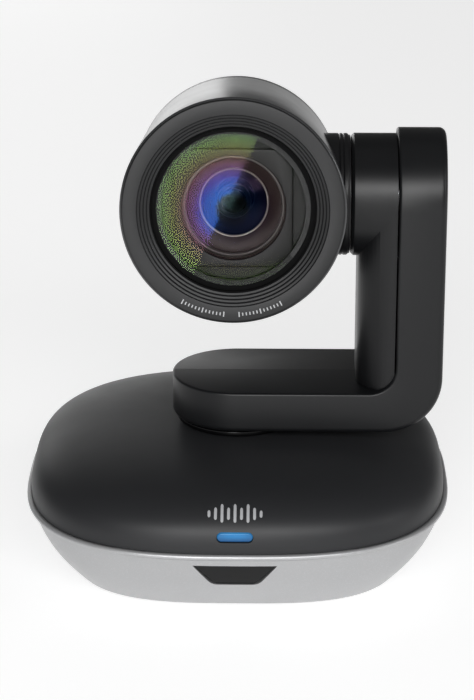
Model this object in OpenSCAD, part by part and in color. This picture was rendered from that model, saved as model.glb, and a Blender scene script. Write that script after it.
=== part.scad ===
// Pan, tilt and zoom conference camera on a low domed base.
// Z is up, the lens looks towards -Y and the pan axis is the Z axis.

/* [Base] */
// Width of the base across its lip
base_w = 131; // [124:1:158]
// Depth of the base from front to back
base_d = 130; // [124:1:158]
// Width of the footprint of the lower shell
foot_w = 102; // [94:0.2:118]
// Height of the lip above the table
lip_z = 21.3; // [20.5:0.1:27]
// Rise of the top cover above the lip
dome_rise = 18.1; // [16.5:0.1:21]
// Wall of both base shells
base_wall = 2.2; // [1.6:0.1:2.8]

/* [Arm] */
// Depth of the arm from front to back
arm_d = 40.6; // [38:0.1:44]
// Distance from the pan axis to the outer face of the arm
arm_reach = 62.5; // [61:0.1:75]
// Thickness of the lower leg of the arm
leg_t = 13.4; // [12.5:0.1:16.5]
// Thickness of the outer upright of the arm
upright_t = 14.8; // [14.5:0.1:17]
// Radius of the outer corner of the arm
corner_r = 17.5; // [13:0.5:19]
// Radius of the inner corner of the arm
inner_r = 8; // [4:0.5:10]
// Wall of the arm shells
arm_wall = 1.8; // [1.2:0.1:2]
// Height of the tilt axis above the table
tilt_z = 113.5; // [110:0.1:136]

/* [Head] */
// Diameter of the front ring
ring_dia = 65.8; // [60:0.1:67]
// Length of the head along the lens axis
head_len = 80.2; // [78:0.1:86]
// Wall of the head drum
drum_wall = 1.8; // [1.2:0.1:2.2]
// Diameter of the cover glass
glass_dia = 44.8; // [37:0.1:47]
// Upward tilt of the head as stored, in degrees
rest_tilt = 8.6; // [0:0.1:20]
// Diameter of the tilt hub
hub_dia = 36.8; // [30:0.1:38]

/* [Drives] */
// Module of the gear teeth
gear_module = 1; // [1]
// Teeth on the pan gear
pan_teeth = 42; // [42]
// Teeth on the tilt gear
tilt_teeth = 28; // [28]
// Teeth on either pinion
pinion_teeth = 12; // [12]
// Radius of the hollow pan shaft
pan_shaft_r = 7; // [5.8:0.1:7.4]
// Radius of the hollow tilt shaft
tilt_shaft_r = 5; // [4.2:0.1:5.4]
// Radial running clearance of a shaft in its bearing
running_gap = 0.05; // [0.02:0.01:0.09]

/* [Optics] */
// Radius of the front lens element
front_lens_r = 15; // [12:0.1:15.2]
// Radius of the zoom and focus lens elements
group_lens_r = 7.5; // [5:0.1:8]
// Radius of the two guide rods
rod_r = 1; // [0.8:0.1:1.3]
// Distance of rods and screws from the lens axis, along X and along Z
rod_pitch = 11.5; // [11.3:0.1:11.8]

/* [Hidden] */

// Smoothness
round_fn = 96;
plan_points = 64;
curve_steps = 8;
cut = 1;

// Base shells
lip_half = base_w / 2;
foot_half = foot_w / 2;
side_diff = (base_w - base_d) / 2;
lip_power = 2.8;
foot_power = 3.15;
shell_floor = 0.8;
lip_band = 1.6;
lip_overhang = 1.2;
seat_z = lip_z + lip_band;
dome_half = lip_half - 1.4;
dome_z = seat_z + 0.1;
dome_top = dome_z + dome_rise;
dome_hole_r = 14;
bowl_bulge = 0.13;
wall_run = base_wall * 1.23;
plate_low = 0.9;
plate_t = 2.2;
plate_top = plate_low + plate_t;
plate_half = foot_half - 4.5;
plate_gap = 0.3;
ledge_t = 2.4;
ledge_half = plate_half - 5.2;
base_screw_r = 1.25;
base_screw_at = (plate_half - 2.6) * pow(0.5, 1 / foot_power);
pad_r = 5;
pad_at = 22.5;
pad_h = 1.9;
pad_recess = 1;

// Turning base parts, from the table upwards
insert_r = 5.5;
thread_r = 3.2;
insert_top = 6.5;
flange_t = 2.5;
flange_top = plate_top + flange_t;
flange_r = 24;
bearing_w = 4;
pan_bearing_r = pan_shaft_r + 4;
tower_r = pan_bearing_r + 2.5;
tower_top = 29;
low_bearing_z = 13;
shaft_low = 10;
clip_z = 11.2;
clip_t = 1;
pan_gear_z = 30;
gear_w = 4;
pan_gear_r = gear_module * pan_teeth / 2;
pinion_r = gear_module * pinion_teeth / 2;
pan_centre = pan_gear_r + pinion_r;
pan_can_r = 9;
motor_shaft_r = 1;
flag_r = 19.2;
collar_r = 19;
collar_low = dome_top + 0.3;
arm_low = collar_low + 1.8;

pan_can_top = pan_gear_z - 3.4;
flag_low = pan_can_top + 0.4;
sensor_top = tower_top - 0.3;

// Gear teeth
pressure = 20;
backlash = 0.16;

// Status light and remote window
light_half = 5.25;
light_h = 2.8;
light_z = seat_z + 5.1;
light_face = depth(dome_half) - 0.5;
light_depth = 4.6;
window_top = lip_z - 2.4;
window_low = lip_z - 10.2;
window_mid = (window_top + window_low) / 2;
window_share = (window_mid - shell_floor) / (lip_z - 0.3 - shell_floor);
window_top_half = 12.4;
window_low_half = 6.8;
window_y = bowl_depth(window_share);
window_above = window_share + 0.15;
window_below = window_share - 0.15;
window_slope = atan((bowl_depth(window_above) - bowl_depth(window_below))
    / (bowl_z(window_above) - bowl_z(window_below)));
window_recess = 0.6;
window_t = 1.4;
front_board_y = window_y - 10.2;
front_board_t = 1.6;

// Main board and rear panel
board_low = flange_top + 0.8;
board_t = 1.6;
board_top = board_low + board_t;
board_half = 26;
board_front = 17;
board_back = bowl_depth(0.27) - wall_run - 4.4;
board_post_x = 20;
panel_half = 21.8;
panel_low = board_low + 0.1;
panel_high = lip_z - 1.8;
panel_y = board_back + 0.4;
panel_t = 1.5;
jack_x = -12;
jack_z = board_top + 5.4;
jack_bore_r = 3;
jack_nose_r = 4;
usb_x = 2;
usb_half = 6;
usb_h = 10.9;
lock_x = 15;
lock_z = board_top + 6;
lock_half = 3.5;
lock_half_h = 1.5;

// Arm
arm_r = arm_d / 2;
leg_top = arm_low + leg_t;
upright_x = arm_reach - upright_t;
cover_x = upright_x - 11.4;
cover_r = arm_r - 1.6;
cover_wall = 1.8;
cover_corner = 11;
cover_window = cover_r - cover_wall - 0.7;
boss_x = cover_x - 2.25;
hub_gap = 0.35;
hub_x = boss_x - hub_gap;
hub_r = hub_dia / 2;
core_t = 1.6;
core_x = upright_x + arm_wall + 0.2;
core_low = arm_low + arm_wall + 0.6;
core_half = 12;
core_head_r = 14;
core_screw_at = 9.6;
seam_gap = 0.1;
tilt_bearing_r = tilt_shaft_r + 3;
left_bearing_x = cover_x + 0.6;
right_bearing_x = core_x + core_t + 1.2;
tilt_gear_x = upright_x - 4.7;
tilt_gear_r = gear_module * tilt_teeth / 2;
tilt_centre = tilt_gear_r + pinion_r;
tilt_can_r = 9;
tilt_can_low = core_x + core_t;
tilt_can_high = arm_reach - arm_wall - 0.6;
shaft_flange_r = 12;
cable_half = 3;
cable_t = 0.7;
cable_low = core_low + core_t + 2.6;

// Head, measured from the tilt axis
head_x = -0.9;
face_y = -38;
ring_r = ring_dia / 2;
ring_len = 1;
ring_back = face_y + ring_len;
rim_gap = 0.5;
web_y = face_y + 6.7;
drum_r = ring_r;
drum_back_r = drum_r - 0.9;
back_y = face_y + head_len;
cap_round = 4;
cap_y = back_y - 8;
glass_r = glass_dia / 2;
glass_t = 2.1;
glass_y = face_y + 3.4;
bezel_r = glass_r + 1.6;
hood_r = bezel_r + 3.7;
mask_half = 17.3;
mask_y = glass_y + glass_t + 1.6;
mask_t = 2;
barrel_r = front_lens_r + 1.8;
barrel_end = -4;
lens_y = mask_y + mask_t + 1;
chassis_half = rod_pitch + 5;
chassis_wall = 1.5;
chassis_end = 24;
screw_r = 1.2;
nut_gap = 0.3;
carriage_r = group_lens_r + 1.8;
zoom_y = 2;
focus_y = 14;
zoom_w = 5;
focus_w = 4;
board_y = chassis_end + 1;
image_y = back_y - 8.6;
neck_r = tilt_shaft_r + 3;

// ---------- shared shapes ----------

function spread(v, n) = sign(v) * pow(abs(v), 2 / n);

// Half depth of a base outline of half width a: the foot is as deep as it is wide
function depth(a) = a - side_diff * max(0, a - foot_half) / (lip_half - foot_half);

function plan_ring(a, n) = [
    for (i = [0:plan_points - 1])
        let (t = 360 * i / plan_points) [a * spread(cos(t), n), depth(a) * spread(sin(t), n)]
];

// Corner numbers of the strip between two neighbouring rings
function strip(j, k) = [
    for (i = [0:plan_points - 1])
        let (a = j * plan_points + i, b = j * plan_points + (i + 1) % plan_points)
        let (c = k * plan_points + (i + 1) % plan_points, d = k * plan_points + i)
        each [[a, c, b], [a, d, c]]
];

// Closed hoop of material: each entry is [half width, height, plan power]
module hoop(loop) {
    points = [for (p = loop) for (q = plan_ring(p[0], p[2])) [q[0], q[1], p[1]]];
    last = len(loop) - 1;
    faces = [for (j = [0:last]) each strip(j, j == last ? 0 : j + 1)];
    polyhedron(points = points, faces = faces, convexity = 6);
}

// Solid pillow with a flat bottom and top
module pillow(loop) {
    points = [for (p = loop) for (q = plan_ring(p[0], p[2])) [q[0], q[1], p[1]]];
    last = len(loop) - 1;
    sides = [for (j = [0:last - 1]) each strip(j, j + 1)];
    low = [for (i = [0:plan_points - 1]) i];
    high = [for (i = [plan_points - 1:-1:0]) last * plan_points + i];
    polyhedron(points = points, faces = concat(sides, [low, high]), convexity = 4);
}

// Half width of the lower shell's outer face at t from 0, its foot, to 1, under the lip
function bowl_half(t) = foot_half + (lip_half - lip_overhang - foot_half) * (t + bowl_bulge * sin(180 * t));
function bowl_depth(t) = depth(bowl_half(t));
function bowl_z(t) = shell_floor + (lip_z - 0.3 - shell_floor) * t;
function bowl_power(t) = foot_power + (lip_power - foot_power) * t;
function bowl_side(inset, t0, t1, n) = [
    for (i = [0:n])
        let (t = t0 + (t1 - t0) * i / n) [bowl_half(t) - inset, bowl_z(t), bowl_power(t)]
];

// Crown of the top cover: a cubic arch from its rim to its hole
function crown(half, rise, n) =
    let (hole = dome_hole_r / half, last = acos(pow(hole, 1.5)))
    [
        for (i = [0:n])
            let (t = last * i / n, part = pow(cos(t), 2 / 3))
            [half * part, dome_z + rise * pow(sin(t), 2 / 3), 2 + (lip_power - 2) * pow(part, 2)]
    ];

function polar(r, a) = [r * cos(a), r * sin(a)];
function involute(a) = tan(a) * 180 / PI - a;

// Half angle of a gear tooth at radius r
function tooth_half(pitch_r, teeth, r) =
    90 / teeth - backlash / pitch_r * 90 / PI + involute(pressure)
    - involute(acos(min(1, pitch_r * cos(pressure) / r)));

function tooth(pitch_r, teeth, centre) =
    let (base_r = pitch_r * cos(pressure), root = pitch_r - 1.25 * gear_module)
    let (tip = pitch_r + 0.85 * gear_module, start = max(base_r, root))
    let (up = [for (i = [0:3]) start + (tip - start) * i / 3])
    concat(
        [polar(root, centre - tooth_half(pitch_r, teeth, start))],
        [for (r = up) polar(r, centre - tooth_half(pitch_r, teeth, r))],
        [for (i = [3:-1:0]) polar(up[i], centre + tooth_half(pitch_r, teeth, up[i]))],
        [polar(root, centre + tooth_half(pitch_r, teeth, start))]
    );

module gear(teeth, width, bore, turn = 0) {
    pitch_r = gear_module * teeth / 2;
    linear_extrude(width)
        difference() {
            polygon([for (k = [0:teeth - 1]) each tooth(pitch_r, teeth, turn + 360 * k / teeth)]);
            circle(r = bore, $fn = round_fn);
        }
}

module disc(r, low, high) {
    translate([0, 0, low]) cylinder(r = r, h = high - low, $fn = round_fn);
}

module ring(outer, inner, low, high) {
    difference() {
        disc(outer, low, high);
        disc(inner, low - cut, high + cut);
    }
}

// Block from one corner to the other
module block(from, to) {
    translate(from) cube(to - from);
}

// Children drawn along Z are laid along +X, with their own X as Y and Y as Z
module along_x() {
    rotate([90, 0, 90]) children();
}

// Children drawn along Z are laid along +Y
module along_y() {
    rotate([-90, 0, 0]) children();
}

module at_tilt_axis() {
    translate([0, 0, tilt_z]) along_x() children();
}

// The head's own frame, tilted up as stored
module in_head() {
    translate([0, 0, tilt_z]) rotate([-rest_tilt, 0, 0]) children();
}

// Round pieces about the lens axis
module on_lens() {
    in_head() translate([head_x, 0, 0]) along_y() children();
}

// Pan head screw standing on its tip, head upwards
module screw(shank_r, length, head_r, head_h) {
    difference() {
        union() {
            cylinder(r = shank_r, h = length + 0.01, $fn = 32);
            disc(head_r, length, length + head_h);
        }
        translate([0, 0, length + head_h * 0.4]) cylinder(r = head_r * 0.45, h = head_h, $fn = 6);
    }
}

module at_corners(x, y) {
    for (sx = [-1, 1], sy = [-1, 1])
        translate([sx * x, sy * y, 0]) children();
}

// ---------- base ----------

module foot_pads() {
    color("#202022") at_corners(pad_at, pad_at) disc(pad_r, 0, pad_h);
}

module bottom_plate() {
    color("#3a3b3d") {
        difference() {
            translate([0, 0, plate_low])
                linear_extrude(plate_t) polygon(plan_ring(plate_half, foot_power));
            disc(insert_r + 0.1, 0, plate_top + cut);
            at_corners(pad_at, pad_at) disc(pad_r + 0.15, 0, plate_low + pad_recess);
            at_corners(base_screw_at, base_screw_at) {
                disc(base_screw_r + 0.25, 0, plate_top + cut);
                disc(base_screw_r + 1.35, 0, plate_low + 1.3);
            }
        }
        at_board_posts() ring(2.6, 0.9, plate_top - 0.01, board_low);
    }
}

module base_screws() {
    color("#8d8f92") at_corners(base_screw_at, base_screw_at)
        translate([0, 0, plate_low + 1.2 + 5]) mirror([0, 0, 1]) screw(base_screw_r, 5, 2.4, 1);
}

module tripod_insert() {
    color("#b89a52") difference() {
        union() {
            disc(insert_r, plate_low, insert_top);
            disc(insert_r + 2.5, plate_top, plate_top + 1.2);
        }
        disc(thread_r, 0, insert_top + cut);
    }
}

module lower_shell() {
    outer = bowl_side(0, 0, 1, curve_steps);
    lip = [
        [lip_half, lip_z, lip_power], [lip_half, seat_z - 0.5, lip_power],
        [lip_half - 0.5, seat_z, lip_power], [dome_half - base_wall - 0.5, seat_z, lip_power]
    ];
    inner = bowl_side(wall_run, 0.96, 0.26, 5);
    ledge = [
        [ledge_half, plate_top + 0.1 + ledge_t, foot_power], [ledge_half, plate_top + 0.1, foot_power],
        [plate_half + plate_gap, plate_top + 0.1, foot_power],
        [plate_half + plate_gap, shell_floor, foot_power]
    ];
    color("#a9abae") difference() {
        hoop(concat(outer, lip, inner, ledge));
        at_corners(base_screw_at, base_screw_at) disc(base_screw_r, 0, plate_top + ledge_t + cut);
        window_prism(0);
        block([-panel_half - 0.1, panel_y - 4, panel_low - 0.1],
            [panel_half + 0.1, base_d, panel_high + 0.1]);
    }
}

module top_cover() {
    outer = crown(dome_half, dome_rise, curve_steps + 1);
    inner = crown(dome_half - base_wall, dome_rise - base_wall, curve_steps);
    reversed = [for (i = [len(inner) - 1:-1:0]) inner[i]];
    color("#2b2c2f") difference() {
        hoop(concat(outer, reversed));
        light_pill(0.1);
    }
}

// Pill outline of the status light, running back from the front of the cover
module light_pill(gap) {
    r = light_h / 2 + gap;
    span = light_half - light_h / 2;
    translate([0, -light_face - 3, light_z]) mirror([0, 1, 0]) rotate([90, 0, 0])
        linear_extrude(light_depth + 7) {
            for (s = [-1, 1]) translate([s * span, 0]) circle(r = r, $fn = 32);
            square([2 * span, 2 * r], center = true);
        }
}

module status_light() {
    color("#1f86d8") intersection() {
        light_pill(0);
        block([-2 * light_half, -light_face, light_z - light_h],
            [2 * light_half, -light_face + light_depth, light_z + light_h]);
    }
}

// Trapezoid with rounded lower corners, running front to back
module window_prism(inset) {
    r = 1.6;
    reach = 8;
    top_half = window_top_half - inset;
    low_half = window_low_half - inset;
    low = window_low + inset;
    translate([0, -window_y + reach, 0]) rotate([90, 0, 0])
        linear_extrude(2.5 * reach)
            polygon(concat(
                [[-top_half, window_top - inset]],
                [for (a = [215:15:270]) [-low_half + r, low + r] + polar(r, a)],
                [for (a = [270:15:325]) [low_half - r, low + r] + polar(r, a)],
                [[top_half, window_top - inset]]
            ));
}

// Slab that follows the slope of the lower shell's front
module window_slab(depth_in, thick) {
    translate([0, -window_y, window_mid]) rotate([window_slope, 0, 0])
        block([-20, depth_in, -12], [20, depth_in + thick, 12]);
}

module remote_window() {
    color("#0b0b0c") intersection() {
        window_prism(0.15);
        window_slab(window_recess, window_t);
    }
}

module remote_sensor() {
    color("#151517") {
        block([-3.4, -front_board_y - 4, window_mid - 3], [3.4, -front_board_y, window_mid + 3]);
        translate([0, -front_board_y - 3.9, window_mid]) rotate([90, 0, 0]) cylinder(r = 2.2, h = 0.9, $fn = 48);
    }
}

module front_board() {
    color("#1d5b34") block(
        [-12, -front_board_y, window_low - 2], [12, -front_board_y + front_board_t, light_z + 3]);
    color("#f2f2ee") block(
        [-2, -front_board_y - 1.6, light_z - 1.4], [2, -front_board_y, light_z + 1.4]);
}

// Four posts that carry the main board
module at_board_posts() {
    for (sx = [-1, 1], y = [board_front + 4, board_back - 15])
        translate([sx * board_post_x, y, 0]) children();
}

module main_board() {
    color("#1d5b34") difference() {
        block([-board_half, board_front, board_low], [board_half, board_back, board_top]);
        disc(flange_r * 0.75, board_low - cut, board_top + cut);
        at_board_posts() disc(1.2, board_low - cut, board_top + cut);
    }
}

module board_chips() {
    color("#17181a") {
        block([-8, board_front + 4.5, board_top], [4, board_front + 16.5, board_top + 1.4]);
        block([8, board_front + 7, board_top], [14, board_front + 15, board_top + 1.1]);
        block([-16, board_front + 7, board_top], [-10, board_front + 13, board_top + 1.1]);
    }
    color("#8f9296") translate([23, board_back - 8, 0]) disc(3, board_top, board_top + 5.5);
}

module board_screws() {
    color("#8d8f92") at_board_posts() translate([0, 0, board_top - 2.6]) screw(0.85, 2.6, 2, 1.2);
}

module rear_panel() {
    color("#232427") difference() {
        intersection() {
            block([-panel_half, panel_y, panel_low], [panel_half, base_d, panel_high]);
            pillow(bowl_side(0.15, 0, 1, curve_steps));
        }
        block([-panel_half + panel_t, panel_y + panel_t, board_top - 0.3],
            [panel_half - panel_t, base_d, panel_high - panel_t]);
        translate([jack_x, panel_y - cut, jack_z]) along_y()
            cylinder(r = jack_nose_r + 0.15, h = panel_t + 2 * cut, $fn = 64);
        block([usb_x - usb_half - 0.15, panel_y - cut, board_top - cut],
            [usb_x + usb_half + 0.15, panel_y + panel_t + cut, board_top + usb_h + 0.15]);
        lock_slot(0.2, panel_y - cut, panel_y + panel_t + cut);
        block([-board_half, 0, 0], [board_half, panel_y + panel_t * 0.99, board_top - 0.25]);
    }
}

module lock_slot(gap, from_y, to_y) {
    half = lock_half + gap;
    half_h = lock_half_h + gap;
    block([lock_x - half, from_y, lock_z - half_h], [lock_x + half, to_y, lock_z + half_h]);
}

module power_jack() {
    color("#161618") difference() {
        union() {
            block([jack_x - 4.5, panel_y - 12, board_top],
                [jack_x + 4.5, panel_y - 0.2, board_top + 10.4]);
            translate([jack_x, panel_y - 1, jack_z]) along_y()
                cylinder(r = jack_nose_r, h = panel_t + 1, $fn = 64);
        }
        translate([jack_x, panel_y - 9, jack_z]) along_y()
            cylinder(r = jack_bore_r, h = 20, $fn = 64);
    }
    color("#c9b36a") translate([jack_x, panel_y - 9.5, jack_z]) along_y()
        cylinder(r = 1, h = 9.5, $fn = 32);
}

module usb_socket() {
    mouth = 0.7;
    back = panel_y - 12;
    front = panel_y + panel_t;
    color("#b9bcc0") difference() {
        block([usb_x - usb_half, back, board_top], [usb_x + usb_half, front, board_top + usb_h]);
        block([usb_x - usb_half + mouth, back + 2, board_top + 1.4],
            [usb_x + usb_half - mouth, front + cut, board_top + usb_h - 1.4]);
    }
    color("#f0f0ec") block(
        [usb_x - 2.8, back + 1.5, board_top + 4], [usb_x + 2.8, front - 1.2, board_top + 7]);
}

module lock_plate() {
    color("#9a9da1") difference() {
        block([lock_x - 5.6, panel_y - 1.3, board_top + 0.6],
            [lock_x + 5.6, panel_y - 0.05, board_top + 10.4]);
        lock_slot(0, panel_y - 3, panel_y + cut);
    }
}

// ---------- pan drive ----------

module pan_frame() {
    color("#6d7074") difference() {
        union() {
            disc(flange_r, plate_top + 0.02, flange_top);
            translate([pan_centre, 0, 0]) disc(pan_can_r + 1, plate_top + 0.02, flange_top);
            disc(tower_r, flange_top - 0.01, tower_top);
        }
        disc(insert_r + 3, plate_top - cut, low_bearing_z - 1);
        disc(pan_bearing_r - 1.2, low_bearing_z - 1.5, tower_top + cut);
        disc(pan_bearing_r, low_bearing_z, low_bearing_z + bearing_w);
        disc(pan_bearing_r, tower_top - bearing_w, tower_top + cut);
        block([-5, 0, flange_top], [5, tower_r + cut, low_bearing_z - 2]);
    }
}

module pan_bearings() {
    color("#c4c7cb") for (z = [low_bearing_z, tower_top - bearing_w])
        difference() {
            ring(pan_bearing_r, pan_shaft_r + running_gap, z, z + bearing_w);
            ring(pan_bearing_r - 1.1, pan_shaft_r + 1.1, z + bearing_w - 0.3, z + bearing_w + cut);
        }
}

module pan_motor() {
    color("#55585c") translate([pan_centre, 0, 0]) difference() {
        union() {
            disc(pan_can_r, flange_top, pan_can_top);
            disc(3, flange_top, pan_gear_z - 2);
        }
        disc(motor_shaft_r + running_gap, flange_top + 6, pan_gear_z);
    }
}

module pan_sensor() {
    color("#1b1c1e") difference() {
        block([-flag_r - 3.6, -4, sensor_top - 8], [-tower_r, 4, sensor_top]);
        block([-flag_r - 1.6, -5, flag_low - 2.5], [-flag_r + 1.6, 5, sensor_top + cut]);
    }
}

module pan_motor_shaft() {
    color("#d4d6d9") translate([pan_centre, 0, 0])
        disc(motor_shaft_r, flange_top + 6.4, pan_gear_z + gear_w + 0.4);
}

module pan_pinion() {
    color("#d9c27a") translate([pan_centre, 0, pan_gear_z])
        gear(pinion_teeth, gear_w, motor_shaft_r, 180 / pinion_teeth);
}

// ---------- arm ----------

module pan_shaft() {
    color("#c9ccd0") difference() {
        union() {
            disc(pan_shaft_r, shaft_low, core_low);
            disc(shaft_flange_r, core_low - 2.2, core_low);
        }
        disc(pan_shaft_r - 2, shaft_low - cut, core_low + cut);
        ring(pan_shaft_r + cut, pan_shaft_r - 0.6, clip_z, clip_z + clip_t);
        at_core_screws() disc(0.9, core_low - 3, core_low + cut);
    }
}

// Four screws that hold the arm core on the pan shaft's flange
module at_core_screws() {
    for (a = [45:90:315])
        rotate([0, 0, a]) translate([core_screw_at, 0, 0]) children();
}

module shaft_clip() {
    color("#b0b3b7") difference() {
        ring(pan_shaft_r + 1.3, pan_shaft_r - 0.55, clip_z + 0.05, clip_z + clip_t - 0.05);
        block([-2.2, 0, clip_z - cut], [2.2, 12, clip_z + 2 * cut]);
    }
}

module pan_gear() {
    color("#e6e2d6") {
        translate([0, 0, pan_gear_z]) gear(pan_teeth, gear_w, pan_shaft_r);
        ring(pan_shaft_r + 3, pan_shaft_r, pan_gear_z + gear_w - 0.01, pan_gear_z + gear_w + 2.4);
    }
}

module pan_flag() {
    color("#3c3d40") rotate([0, 0, 90])
        intersection() {
            ring(flag_r + 0.6, flag_r - 0.6, flag_low, pan_gear_z);
            block([10, -3.5, 0], [30, 3.5, pan_gear_z + cut]);
        }
}

module arm_collar() {
    color("#0e0e10") difference() {
        union() {
            disc(collar_r - 0.5, collar_low, arm_low);
            disc(collar_r, collar_low + 0.4, arm_low);
        }
        disc(pan_shaft_r + 0.1, collar_low - cut, arm_low + cut);
    }
}

// Block whose lower right corner is rounded, in the XZ plane
module corner_block(x0, x1, z0, z1, r) {
    translate([x0, z0 + r]) square([x1 - x0, z1 - z0 - r]);
    translate([x0, z0]) square([x1 - r - x0, r + 0.01]);
    translate([x1 - r, z0 + r]) circle(r = r, $fn = round_fn);
}

// Outer form of the arm, its faces moved in by inset
module arm_form(inset) {
    r = arm_r - inset;
    top = tilt_z + arm_d;
    intersection() {
        rotate([90, 0, 0]) linear_extrude(2 * arm_d, center = true)
            difference() {
                corner_block(-arm_r + inset, arm_reach - inset, arm_low + inset, top, corner_r - inset);
                corner_block(-arm_r - 9, upright_x + inset, leg_top - inset, top + 9, inner_r + inset);
            }
        translate([0, 0, arm_low - 9]) linear_extrude(top) {
            circle(r = r, $fn = round_fn);
            translate([0, -r]) square([arm_reach + 9, 2 * r]);
        }
        translate([-arm_d, 0, 0]) along_x() linear_extrude(arm_reach + 2 * arm_d) {
            translate([-r, 0]) square([2 * r, tilt_z]);
            translate([0, tilt_z]) circle(r = r, $fn = round_fn);
        }
    }
}

module arm_shell() {
    difference() {
        arm_form(0);
        arm_form(arm_wall);
        disc(shaft_flange_r + 0.3, arm_low - cut, leg_top - arm_wall - cut);
        block([upright_x - cut, -cover_window, leg_top + inner_r - 1],
            [upright_x + arm_wall + cut, cover_window, tilt_z]);
        translate([upright_x - cut, 0, 0]) at_tilt_axis()
            cylinder(r = cover_window, h = arm_wall + 2 * cut, $fn = round_fn);
    }
}

module arm_front_shell() {
    color("#1c1d20") intersection() {
        arm_shell();
        block([-arm_d, -arm_d, 0], [2 * arm_reach, -seam_gap / 2, 2 * tilt_z]);
    }
}

module arm_rear_shell() {
    color("#1f2023") intersection() {
        arm_shell();
        block([-arm_d, seam_gap / 2, 0], [2 * arm_reach, arm_d, 2 * tilt_z]);
    }
}

// Upright body of the inner cover with rounded edges towards the head
module cover_column(inset) {
    r = cover_corner - inset;
    reach = cover_r - cover_corner;
    translate([0, 0, leg_top + 0.1 + inset]) linear_extrude(tilt_z - leg_top)
        intersection() {
            union() {
                for (s = [-1, 1])
                    translate([cover_x + cover_corner, s * reach]) circle(r = r, $fn = round_fn);
                translate([cover_x + inset, -reach]) square([30, 2 * reach]);
            }
            translate([cover_x, -arm_d]) square([upright_x - 0.1 - cover_x + inset, 2 * arm_d]);
        }
}

// Turned boss of the inner cover about the tilt axis
module cover_boss(r, from_x, to_x) {
    translate([from_x, 0, 0]) at_tilt_axis() cylinder(r = r, h = to_x - from_x, $fn = round_fn);
}

module inner_cover() {
    color("#17181a") difference() {
        union() {
            difference() {
                intersection() {
                    union() {
                        cover_column(0);
                        cover_boss(cover_r, boss_x, upright_x - 0.1);
                    }
                    block([0, -arm_d, 0], [upright_x - 0.1, arm_d, 2 * tilt_z]);
                }
                intersection() {
                    union() {
                        cover_column(cover_wall);
                        cover_boss(cover_r - cover_wall, boss_x + cover_wall, upright_x);
                    }
                    block([0, -arm_d, 0], [upright_x + cut, arm_d, 2 * tilt_z]);
                }
            }
            cover_boss(tilt_bearing_r + 2, boss_x + 1, left_bearing_x + bearing_w);
        }
        cover_boss(tilt_shaft_r + 0.6, boss_x - cut, upright_x);
        cover_boss(tilt_bearing_r, left_bearing_x, upright_x);
        arm_form(-0.1);
    }
}

module arm_core() {
    plate_x = core_x + core_t;
    color("#84878b") difference() {
        intersection() {
            union() {
                block([-core_half, -core_half, core_low], [plate_x, core_half, core_low + core_t]);
                block([core_x, -core_head_r, core_low], [plate_x, core_head_r, tilt_z]);
                cover_boss(core_head_r, core_x, plate_x);
                cover_boss(tilt_bearing_r + 2, core_x, right_bearing_x + bearing_w);
            }
            arm_form(arm_wall + 0.3);
        }
        cover_boss(tilt_shaft_r + 0.6, core_x - cut, arm_reach);
        cover_boss(tilt_bearing_r, right_bearing_x, arm_reach);
        translate([0, 0, -tilt_centre]) cover_boss(3.1, core_x - cut, plate_x + cut);
        disc(pan_shaft_r - 1, core_low - cut, core_low + core_t + cut);
        block([core_x - cut, -cable_half - 0.6, cable_low + 2.6],
            [plate_x + cut, cable_half + 0.6, cable_low + 4.7]);
        at_core_screws() disc(1.1, core_low - cut, core_low + core_t + cut);
    }
}

module core_screws() {
    color("#8d8f92") at_core_screws()
        translate([0, 0, core_low + core_t - 3.4]) screw(0.85, 3.4, 1.8, 1.2);
}

module tilt_motor() {
    color("#55585c") translate([0, 0, -tilt_centre]) difference() {
        union() {
            cover_boss(tilt_can_r, tilt_can_low, tilt_can_high);
            cover_boss(3, core_x - 0.8, tilt_can_high - 1);
        }
        cover_boss(motor_shaft_r + running_gap, core_x - 2, tilt_can_high - 2);
    }
}

module tilt_bearings() {
    color("#c4c7cb") for (x = [left_bearing_x, right_bearing_x])
        difference() {
            cover_boss(tilt_bearing_r, x, x + bearing_w);
            cover_boss(tilt_shaft_r + running_gap, x - cut, x + bearing_w + cut);
        }
}

// Flat cable from the pan shaft, along the lower leg and up behind the core plate
module arm_cable() {
    w = cable_half;
    t = cable_t;
    low = cable_low;
    riser_x = core_x + core_t + 0.8;
    top = tilt_z - tilt_centre - tilt_can_r - 2;
    color("#c87f35") {
        block([-t / 2, -w, shaft_low + 2], [t / 2, w, low + t]);
        block([-t / 2, -w, low], [core_x - 3, w, low + t]);
        block([core_x - 3, -w, low], [core_x - 3 + t, w, low + 4]);
        block([core_x - 3, -w, low + 4 - t], [riser_x, w, low + 4]);
        block([riser_x - t, -w, low + 4 - t], [riser_x, w, top]);
    }
}

module tilt_motor_shaft() {
    color("#d4d6d9") translate([0, 0, -tilt_centre])
        cover_boss(motor_shaft_r, tilt_gear_x - 0.4, tilt_can_high - 2.4);
}

module tilt_pinion() {
    color("#d9c27a") translate([tilt_gear_x, 0, -tilt_centre]) at_tilt_axis()
        gear(pinion_teeth, gear_w, motor_shaft_r, 180 / pinion_teeth);
}

// ---------- head ----------

module tilt_shaft() {
    color("#c9ccd0") difference() {
        cover_boss(tilt_shaft_r, chassis_half + 1.2 + head_x, right_bearing_x + bearing_w + 1);
        cover_boss(tilt_shaft_r - 1.6, 0, arm_reach);
    }
}

module tilt_gear() {
    color("#e6e2d6") translate([tilt_gear_x, 0, 0]) at_tilt_axis() gear(tilt_teeth, gear_w, tilt_shaft_r);
}

// Outer radius of the drum, which narrows a little towards its back
function drum_at(y) = drum_r - (drum_r - drum_back_r) * (y - ring_back) / (cap_y + cap_round - ring_back);

// Outer form of the drum, its face moved out by gap
module drum_form(gap) {
    on_lens() rotate_extrude($fn = round_fn) polygon([
        [0, ring_back], [drum_r + gap, ring_back], [drum_back_r + gap, cap_y + cap_round],
        [drum_back_r + gap, back_y], [0, back_y]
    ]);
}

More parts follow.
